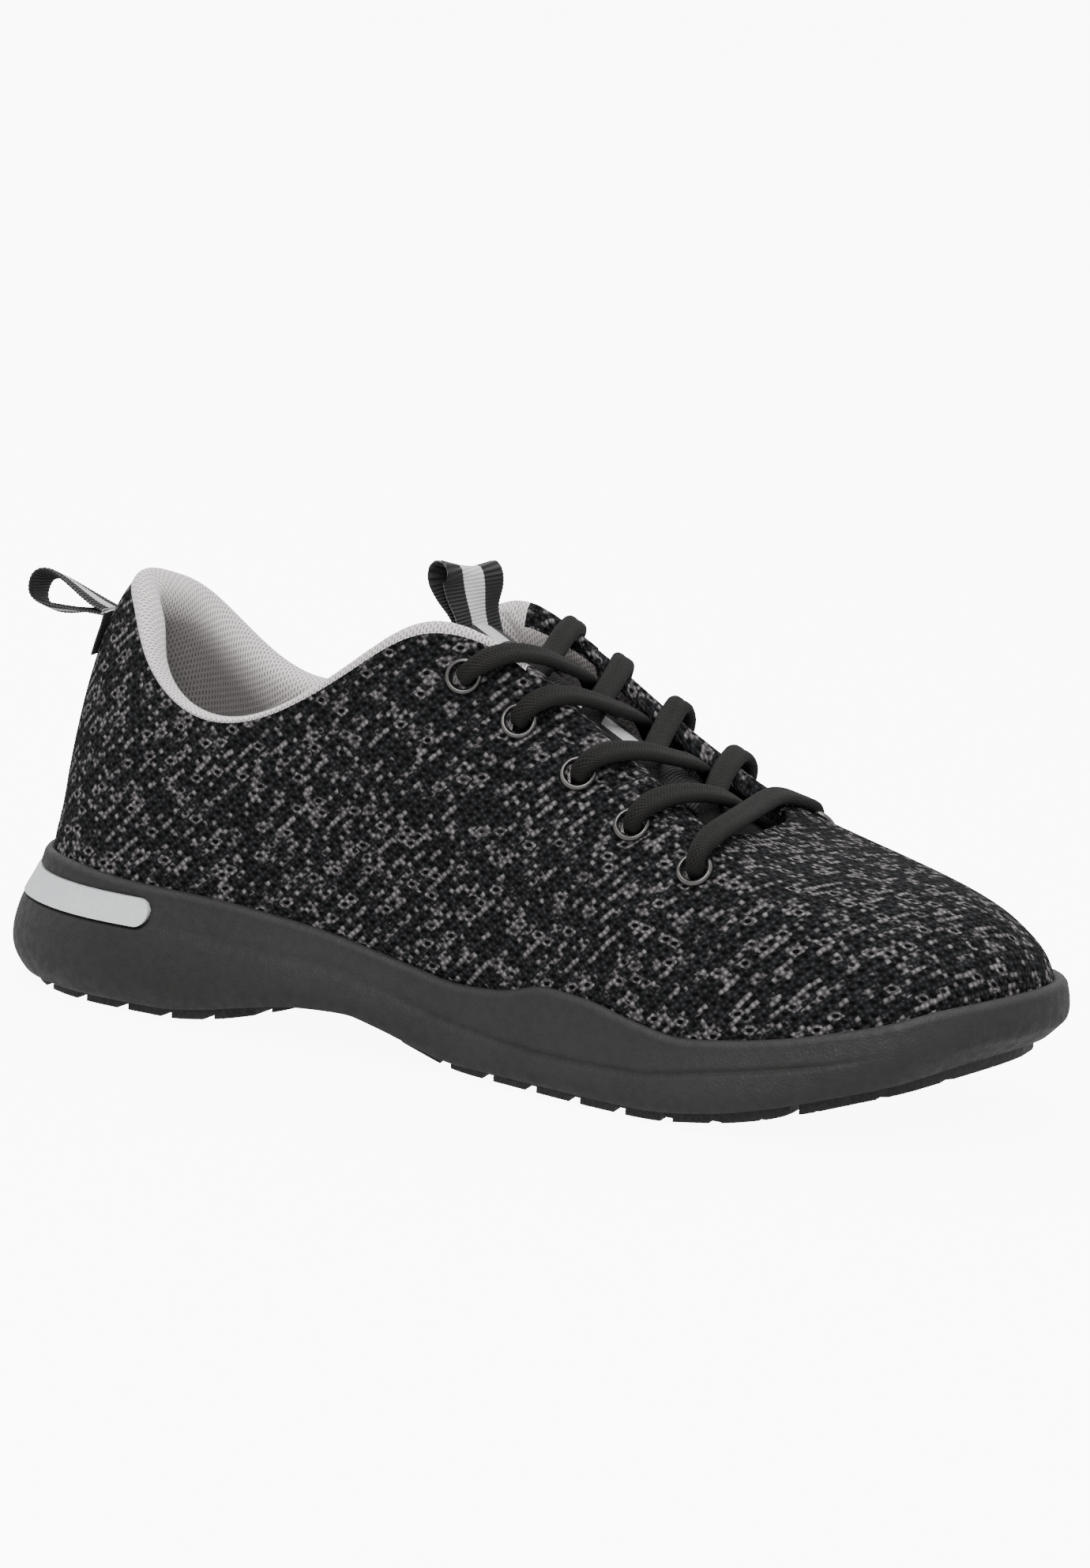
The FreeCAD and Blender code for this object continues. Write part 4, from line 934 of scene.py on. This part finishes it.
# ---------------------------------------------------------------- lace
def spline_points(route):
    """Points along the lace's NURBS spline, in millimetres of the working frame."""
    curve = bpy.data.curves.new("lace_line", "CURVE")
    curve.dimensions = "3D"
    spline = curve.splines.new("NURBS")
    spline.points.add(len(route) - 1)
    for point, (x, y, z) in zip(spline.points, placed(route)):
        point.co = (x, y, z, 1.0)
    spline.order_u = 3
    spline.use_endpoint_u = True
    spline.resolution_u = 14
    holder = linked(bpy.data.objects.new("lace_line", curve))
    bpy.context.view_layer.update()
    mesh = bpy.data.meshes.new_from_object(holder)
    points = np.array([v.co for v in mesh.vertices], float) / MM + CENTRE
    bpy.data.objects.remove(holder)
    return points


def lace_frames(path):
    """Side and up directions along the lace: flat on the shoe, turning gently where it dives in a hole."""
    tangent = unit(np.gradient(path, axis=0))
    axis_start, axis_way = np.array([100.0, 0, 62.0]), unit(np.array([100.0, 0, -44.0]))
    offset = path - axis_start
    guide = unit(offset - (offset @ axis_way)[:, None] * axis_way)
    side = np.cross(tangent, guide)
    size = np.linalg.norm(side, axis=1)
    side = side / np.maximum(size, 1e-6)[:, None]
    weight = np.clip(size - 0.45, 0, 1) * 0.5

    def carry(order):
        carried = np.zeros_like(side)
        now = side[order[0]]
        for i in order:
            now = now - tangent[i] * (now @ tangent[i])
            now = now / np.linalg.norm(now)
            pull = side[i] * np.sign(side[i] @ now or 1.0)
            now = unit(now + (pull - now) * weight[i])
            carried[i] = now
        return carried
    ahead = carry(range(len(path)))
    back = carry(range(len(path) - 1, -1, -1))
    back *= np.sign(np.sum(ahead * back, 1))[:, None]
    both = unit(ahead + back)
    both = unit(both - tangent * np.sum(both * tangent, 1)[:, None])
    return both, np.cross(both, tangent)


LACE_SIDES, LACE_GIRTH = 28, 15.2


def make_lace():
    """The braided lace: round at the eyelets, flatter and with a groove along it where it lies on top."""
    path = spline_points(LACE_ROUTE)
    side, up = lace_frames(path)
    near = ease(to_nearest(path, HOLE_CENTRES), 3.0, 9.0)
    turns = np.linspace(0, 2 * math.pi, LACE_SIDES, endpoint=False)
    cos, sin = np.cos(turns), np.sin(turns)
    rings = []
    for i in range(len(path)):
        half_width, half_height = 2.3 + 0.7 * near[i], 1.95 - 0.4 * near[i]
        across_way = half_width * np.sign(cos) * np.abs(cos)**0.85
        rib = 1 - 0.20 * np.exp(-(across_way / 0.5)**2) + 0.05 * np.cos(across_way / half_width * 9.0)
        height = half_height * np.sign(sin) * np.abs(sin)**0.8 * rib
        rings.append(path[i] + across_way[:, None] * side[i] + height[:, None] * up[i])
    uv = tape_uv(running(gaps(path)), np.linspace(0, LACE_GIRTH, LACE_SIDES + 1))
    obj = grid_piece("lace_braided", np.array(rings), uv=uv, tube=True)
    return close_ends(obj, len(path), LACE_SIDES)


# ---------------------------------------------------------------- pull loops
def make_loop(name, base, loop_way, width_way, twist, radius, reach, width, tails):
    """A folded tape: two legs from the seam that open into a round end; tails are the sewn ends' lengths.
    The tape's width turns from width_way at the seam by twist at the round end."""
    base, loop_way = np.array(base), unit(np.array(loop_way))
    width_way = np.array(width_way, float)
    width_way = unit(width_way - loop_way * (width_way @ loop_way))
    open_way = np.cross(loop_way, width_way)
    r = radius - 0.5
    centre = reach - radius
    leg = [(-1.0, 0.5), (1.5, 0.75), (0.45 * centre, 0.55 * r), (centre - 0.4 * r, 1.02 * r),
           (centre + 0.55 * r, 1.12 * r), (centre + 1.28 * r, 0.62 * r)]
    outline = [(-tails[0], 0.45), *leg, *[(a, -b) for a, b in leg[::-1]], (-tails[1], -0.45)]
    controls = np.array([base + loop_way * a + open_way * b for a, b in outline])
    count, steps = 25, 260
    path = clamped(controls[None], np.linspace(0, 1, steps))[0]
    tangent = unit(np.gradient(path, axis=0))
    turned = ease((path - base) @ loop_way, 0.0, 0.8 * reach)[:, None] * np.array(twist, float)
    sideways = unit(width_way + turned)
    sideways = unit(sideways - tangent * np.sum(sideways * tangent, 1)[:, None])
    face = np.cross(tangent, sideways)
    half, thick = width / 2, 0.5
    spread = np.linspace(-half, half, count)
    edge = np.clip((half - np.abs(spread)) / 0.6, 0.25, 1)**0.5
    lengths = running(gaps(path))
    lift = thick * edge[None] + 0.09 * np.sin(2 * math.pi * lengths / 0.9)[:, None]
    middle = path[:, None] + sideways[:, None] * spread[None, :, None]
    upper, lower = middle + face[:, None] * lift[..., None], middle - face[:, None] * lift[..., None]
    ring = np.concatenate([upper, lower[:, ::-1]], 1)
    outer_is_upper = face[0] @ (path[0] - path[-1]) > 0
    plain = spread + NO_STRIPE
    first, last = (spread, plain[::-1]) if outer_is_upper else (plain, spread[::-1])
    uv = tape_uv(lengths, np.concatenate([first, last, first[:1]]))
    return close_ends(grid_piece(name, ring, uv=uv, tube=True), len(path), 2 * count)


def make_heel_tape():
    """The flat end of the heel loop's tape, sewn down the heel seam."""
    seam = surface(layer(0.0), [0.0], np.linspace(0.68, 0.825, 50))[0]
    tangent = unit(np.gradient(seam, axis=0))
    face = np.stack([-tangent[:, 2], 0 * tangent[:, 0], tangent[:, 0]], 1)
    stand = 0.6 * ease(seam[:, 2], 89, 95)
    spread = np.linspace(-4.9, 4.9, 21)
    bend = 0.018 * spread**2
    outer = seam[:, None] + face[:, None] * (stand[:, None] + 0.55)[..., None]
    inner = seam[:, None] + face[:, None] * stand[:, None, None]
    sag = np.array([1.0, 0, 0]) * bend[:, None] + np.array([0, 1.0, 0]) * spread[:, None]
    ring = np.concatenate([outer + sag, (inner + sag)[:, ::-1]], 1)
    uv = tape_uv(grid_lengths(ring, False)[:, 0, 0],
                 np.concatenate([spread, spread[::-1] + NO_STRIPE, spread[:1]]))
    return close_ends(grid_piece("heel_tape", ring, uv=uv, tube=True), len(seam), 42)


# ---------------------------------------------------------------- midsole
TOE_REACH = (-8, -7.5, -4.6, -1.2, 1.4, 2.8, 2.8, 1.6, 0.6, 0.0)      # the wall's reach outward at the toe
STRIP_END, STRIP_HALF, STRIP_MIDDLE, STRIP_DEPTH = 46.0, 3.3, 25.9, 1.25
SOLE_FLOOR = 1.8                                 # the foam's underside above the tread's edge


def wall_columns():
    """Control points of the sole's side wall."""
    rim = rim_inside(0.0)
    x = rim[:, 0]
    rim_z, groove_z, tread_z = rim_height(x), groove_height(x), tread_height(x)
    flare, toe = np.clip(1 - x / 110, 0, 1), ease(x, 226, 268)
    belly, shoulder = 0.3 * groove_z + 0.7 * tread_z, 0.78 * groove_z + 0.22 * tread_z
    outline = [(-6, -25), (-4, tread_z - 8), (1 + 1.5 * flare, tread_z - 1), (5.2 + 4.5 * flare, belly),
               (3.8 + 3.5 * flare, shoulder), (3.0 + 2.0 * flare, groove_z),
               (1.6 + 0.4 * flare, 0.5 * (groove_z + rim_z)), (0.5, rim_z), (0.3, rim_z + 6), (0.0, 60)]
    columns = []
    for (reach, z), at_toe in zip(outline, TOE_REACH):
        reach = reach + (at_toe - reach) * toe
        columns.append(rim + OUT * reach[:, None] + UP * (np.zeros(COUNT) + z)[:, None])
    return np.stack(columns, 1)


def crossing(fine, height_line, shift):
    """Where each column of fine points crosses a height line, as a share of the column."""
    above = fine[:, :, 2] - height_line(fine[:, :, 0]) - shift
    last = above.shape[1] - 1 - np.argmax((above < 0)[:, ::-1], 1)
    last = np.minimum(last, above.shape[1] - 2)
    rows = np.arange(len(fine))
    low, high = above[rows, last], above[rows, last + 1]
    return (last + low / (low - high)) / (fine.shape[1] - 1)


def strip_distance(points):
    """How far a point of the wall is outside the heel strip's outline."""
    end = STRIP_END - STRIP_HALF
    dx = np.maximum(points[..., 0] - end, 0)
    return np.hypot(dx, points[..., 2] - STRIP_MIDDLE) - STRIP_HALF


def make_midsole():
    """The foam sole: underside, side wall with groove and strip slot, rim, and the well for the insole."""
    nu = 560
    where = np.arange(nu) * COUNT / nu
    controls = along(wall_columns(), where)
    fine = clamped(controls, np.linspace(0, 1, 500))
    bottom = crossing(fine, tread_height, SOLE_FLOOR)
    groove = crossing(fine, groove_height, 0.0)
    rim = crossing(fine, rim_height, 0.0)
    low_rows, high_rows = np.linspace(0, 1, 34), np.linspace(0, 1, 26)[1:]
    share = np.concatenate([bottom[:, None] + (groove - bottom)[:, None] * low_rows,
                            groove[:, None] + (rim - groove)[:, None] * high_rows], 1)
    spots = share * (fine.shape[1] - 1)
    index = np.clip(spots.astype(int), 0, fine.shape[1] - 2)
    part = (spots - index)[..., None]
    rows = np.arange(nu)[:, None]
    wall = fine[rows, index] * (1 - part) + fine[rows, index + 1] * part
    out = grid_normals(wall, True)
    out *= np.sign(np.sum(out[..., :2] * (wall[..., :2] - np.array([135.0, 0.0]))))
    x, z = wall[..., 0], wall[..., 2]
    from_groove = z - groove_height(x)
    sharp = ease(x, 100, 160)
    width = 1.5 - 0.75 * sharp
    dent = (0.30 + 0.35 * sharp) * np.exp(-(from_groove / width)**2)
    dent = dent * ease(x, 40, 60) * (1 - ease(x, 228, 256))
    below_rim = z - rim_height(x)
    dent += 0.55 * ease(below_rim, -1.5, 0.0)**2
    dent += STRIP_DEPTH * (1 - ease(strip_distance(wall), 0.05, 1.0))
    wall = wall - out * dent[..., None]
    # The rim's top, the well's wall and its floor.
    foot = round_shoe(rim_inside(2.75), where)
    facing = unit(round_shoe(OUT, where))
    floor_z = foot_height(foot[:, 0])
    rim_z = wall[:, -1, 2]
    lean = math.tan(math.radians(7.5))
    well = [foot + facing * (lean * (level - floor_z))[:, None] + UP * level[:, None]
            for level in (rim_z, rim_z - 0.6, 0.5 * (rim_z + floor_z), floor_z)]
    crest = 0.5 * (wall[:, -1] + well[0]) + UP * 0.35
    well[0] = well[0] + facing * 0.35
    spine = middle_of(foot, 32, 236)
    inside = [crest] + well
    for share_in in (0.35, 0.7, 1.0):
        ring = foot + (spine - foot) * share_in
        ring[:, 2] = foot_height(ring[:, 0])
        inside.append(ring)
    base = wall[:, 0]
    spine = middle_of(base, 32, 236)
    under = []
    for share_in in (1.0, 0.75, 0.5, 0.3, 0.15, 0.05, 0.015):
        ring = base + (spine - base) * share_in
        ring[:, 2] = tread_height(ring[:, 0]) + SOLE_FLOOR
        under.append(ring)
    grid = np.concatenate([np.stack(under, 1), wall, np.stack(inside, 1)], 1)
    first_wall = len(under)
    lengths = grid_lengths(grid, True)
    down = np.zeros(grid.shape[:2])
    down[:, first_wall:first_wall + wall.shape[1]] = below_rim
    down[:, :first_wall] = -40.0                 # well below the rim, so that nothing there is pale
    down = np.concatenate([down, down[:1]])
    uv = np.stack([lengths[..., 0], down], 2)
    return weld(grid_piece("midsole_moulding", grid, closed=True, uv=uv))


# ---------------------------------------------------------------- insole
def make_insole():
    """The removable insole: a crowned foam bed with its cover, lying in the well."""
    nu = 280
    where = np.arange(nu) * COUNT / nu
    ring = round_shoe(rim_inside(7.3), where)
    spine = middle_of(ring, 34, 232)
    profile = [(1.0, 1.1), (0.7, 1.1), (0.3, 1.1), (0.02, 1.1), (0.0, 1.5), (-0.012, 2.8), (0.0, 4.3),
               (0.03, 5.0), (0.08, 5.25), (0.2, 5.3), (0.4, 5.3), (0.6, 5.3), (0.8, 5.3), (1.0, 5.3)]
    rows = []
    for share_in, height in profile:
        line_here = ring + (spine - ring) * share_in
        line_here[:, 2] = foot_height(line_here[:, 0]) + height
        rows.append(line_here)
    return weld(grid_piece("insole_bed", np.stack(rows, 1), closed=True))


# ---------------------------------------------------------------- the shoe
dress(make_knit(), "shoe", "knit", look["knit"], "knit_upper", "throat_binding")
collar = dress(make_collar(), "shoe", "spacer_mesh", [look["mesh"], look["knit_tongue"]],
               "collar_lining", "collar_binding", "collar_foam")
dress(make_vamp_lining(), "shoe", "spacer_mesh", look["mesh"], "vamp_lining")
tongue = dress(make_tongue(), "tongue", "knit", [look["knit_tongue"], look["mesh"]],
               "tongue_cover", "tongue_foam", "tongue_lining")
dress(make_tongue_tape(), "tongue", "webbing", look["tongue_tape"], "tongue_webbing")
for side in ("lateral", "medial"):
    dress(make_eyelets(side), "shoe", "eyelet_metal", look["metal"], "eyelets_" + side)
dress(make_lace(), "shoe", "lace_braid", look["lace"], "lace")
tongue_pull = make_loop("tongue_pull", base=(115.6, -0.5, 105.0), loop_way=(-0.32, 0, 0.95),
                        width_way=(0.3, 1, -0.2), twist=(0.55, -0.1, -0.2), radius=2.7, reach=12.6,
                        width=16.0, tails=(5.0, 5.0))
dress(tongue_pull, "tongue_loop", "webbing", look["tongue_tape"], "tongue_loop")
heel_pull = make_loop("heel_pull", base=(10.3, 0, 93.4), loop_way=(-0.98, 0, 0.18), width_way=(0, 1, -0.08),
                      twist=(0, 0, -0.3), radius=4.5, reach=19.6, width=10.0, tails=(1.5, 1.5))
dress(heel_pull, "heel_loop", "webbing", look["heel_tape"], "heel_loop")
dress(make_heel_tape(), "shoe", "webbing", look["heel_tape"])
dress(make_midsole(), "shoe", "midsole_foam", look["midsole"], "midsole")
insole = dress(make_insole(), "shoe", "insole_fabric", look["insole"], "insole_foam", "insole_cover")

KEPT_NODES = {"rubber": ["outsole_heel", "outsole_forefoot_lateral", "outsole_forefoot_medial",
                         "outsole_toe"],
              "strip": ["heel_strip"], "strobel": ["strobel_board"], "aglet": ["aglets"],
              "stiffener": ["eyestay_lateral", "eyestay_medial", "toe_puff", "heel_counter"],
              "metal": ["eyelet_washers_lateral", "eyelet_washers_medial"]}
for key, names in KEPT_NODES.items():
    for name in names:
        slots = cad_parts[name].data.materials
        slots.clear()
        slots.append(look[key])


# ---------------------------------------------------------------- camera, floor and light
AZIMUTH, ELEVATION, DISTANCE = math.radians(27.0), math.radians(12.5), 1.8
AIM_TURNS = ((3.0, "Z"), (0.678, "X"), (0.056, "Y"))     # the roll, then turns that centre the shoe
FLOOR_GLOW, SKY = 9.0, 1.05


def make_camera():
    back = Vector((math.sin(AZIMUTH) * math.cos(ELEVATION), -math.cos(AZIMUTH) * math.cos(ELEVATION),
                   math.sin(ELEVATION)))
    aim = Vector(placed([140.0, 0.0, 45.0]))
    data = bpy.data.cameras.new("camera")
    data.lens, data.sensor_width = 168.4, 36.0
    data.clip_start, data.clip_end = 0.05, 50.0
    camera = linked(bpy.data.objects.new("camera", data))
    camera.rotation_mode = "QUATERNION"
    camera.location = aim + back * DISTANCE
    turn = (-back).to_track_quat("-Z", "Y")
    for angle, axis in AIM_TURNS:
        turn = turn @ Matrix.Rotation(math.radians(angle), 4, axis).to_quaternion()
    camera.rotation_quaternion = turn
    bpy.context.scene.camera = camera


def area_light(name, place, size, power):
    data = bpy.data.lights.new(name, "AREA")
    data.shape, data.size, data.energy = "DISK", size, power
    light = linked(bpy.data.objects.new(name, data))
    light.location = place
    light.rotation_mode = "QUATERNION"
    light.rotation_quaternion = (-Vector(place)).to_track_quat("-Z", "Y")


def make_floor():
    """A white glowing floor that neither lights the shoe nor shows in it, for the photo's plain ground."""
    mesh = bpy.data.meshes.new("floor")
    half = 12.0
    corners = [(-half, -half, 0), (half, -half, 0), (half, half, 0), (-half, half, 0)]
    mesh.from_pydata(corners, [], [(0, 1, 2, 3)])
    floor = linked(bpy.data.objects.new("floor", mesh))
    p = Paint("floor", Roughness=0.9, Emission_Color=(1, 1, 1, 1), Emission_Strength=FLOOR_GLOW)
    mesh.materials.append(p.finish((0.9, 0.9, 0.9, 1.0)))
    floor.visible_diffuse = False
    floor.visible_glossy = False


make_camera()
make_floor()
world = bpy.data.worlds.new("studio")
bpy.context.scene.world = world
world.use_nodes = True
background = world.node_tree.nodes["Background"].inputs
background["Color"].default_value = (1, 1, 1, 1)
background["Strength"].default_value = SKY
area_light("key", (0.6, -1.4, 1.6), 1.2, 26.0)
area_light("rim", (-0.9, 0.7, 1.3), 1.0, 8.0)
area_light("top", (0.1, 0.1, 1.9), 1.2, 14.0)
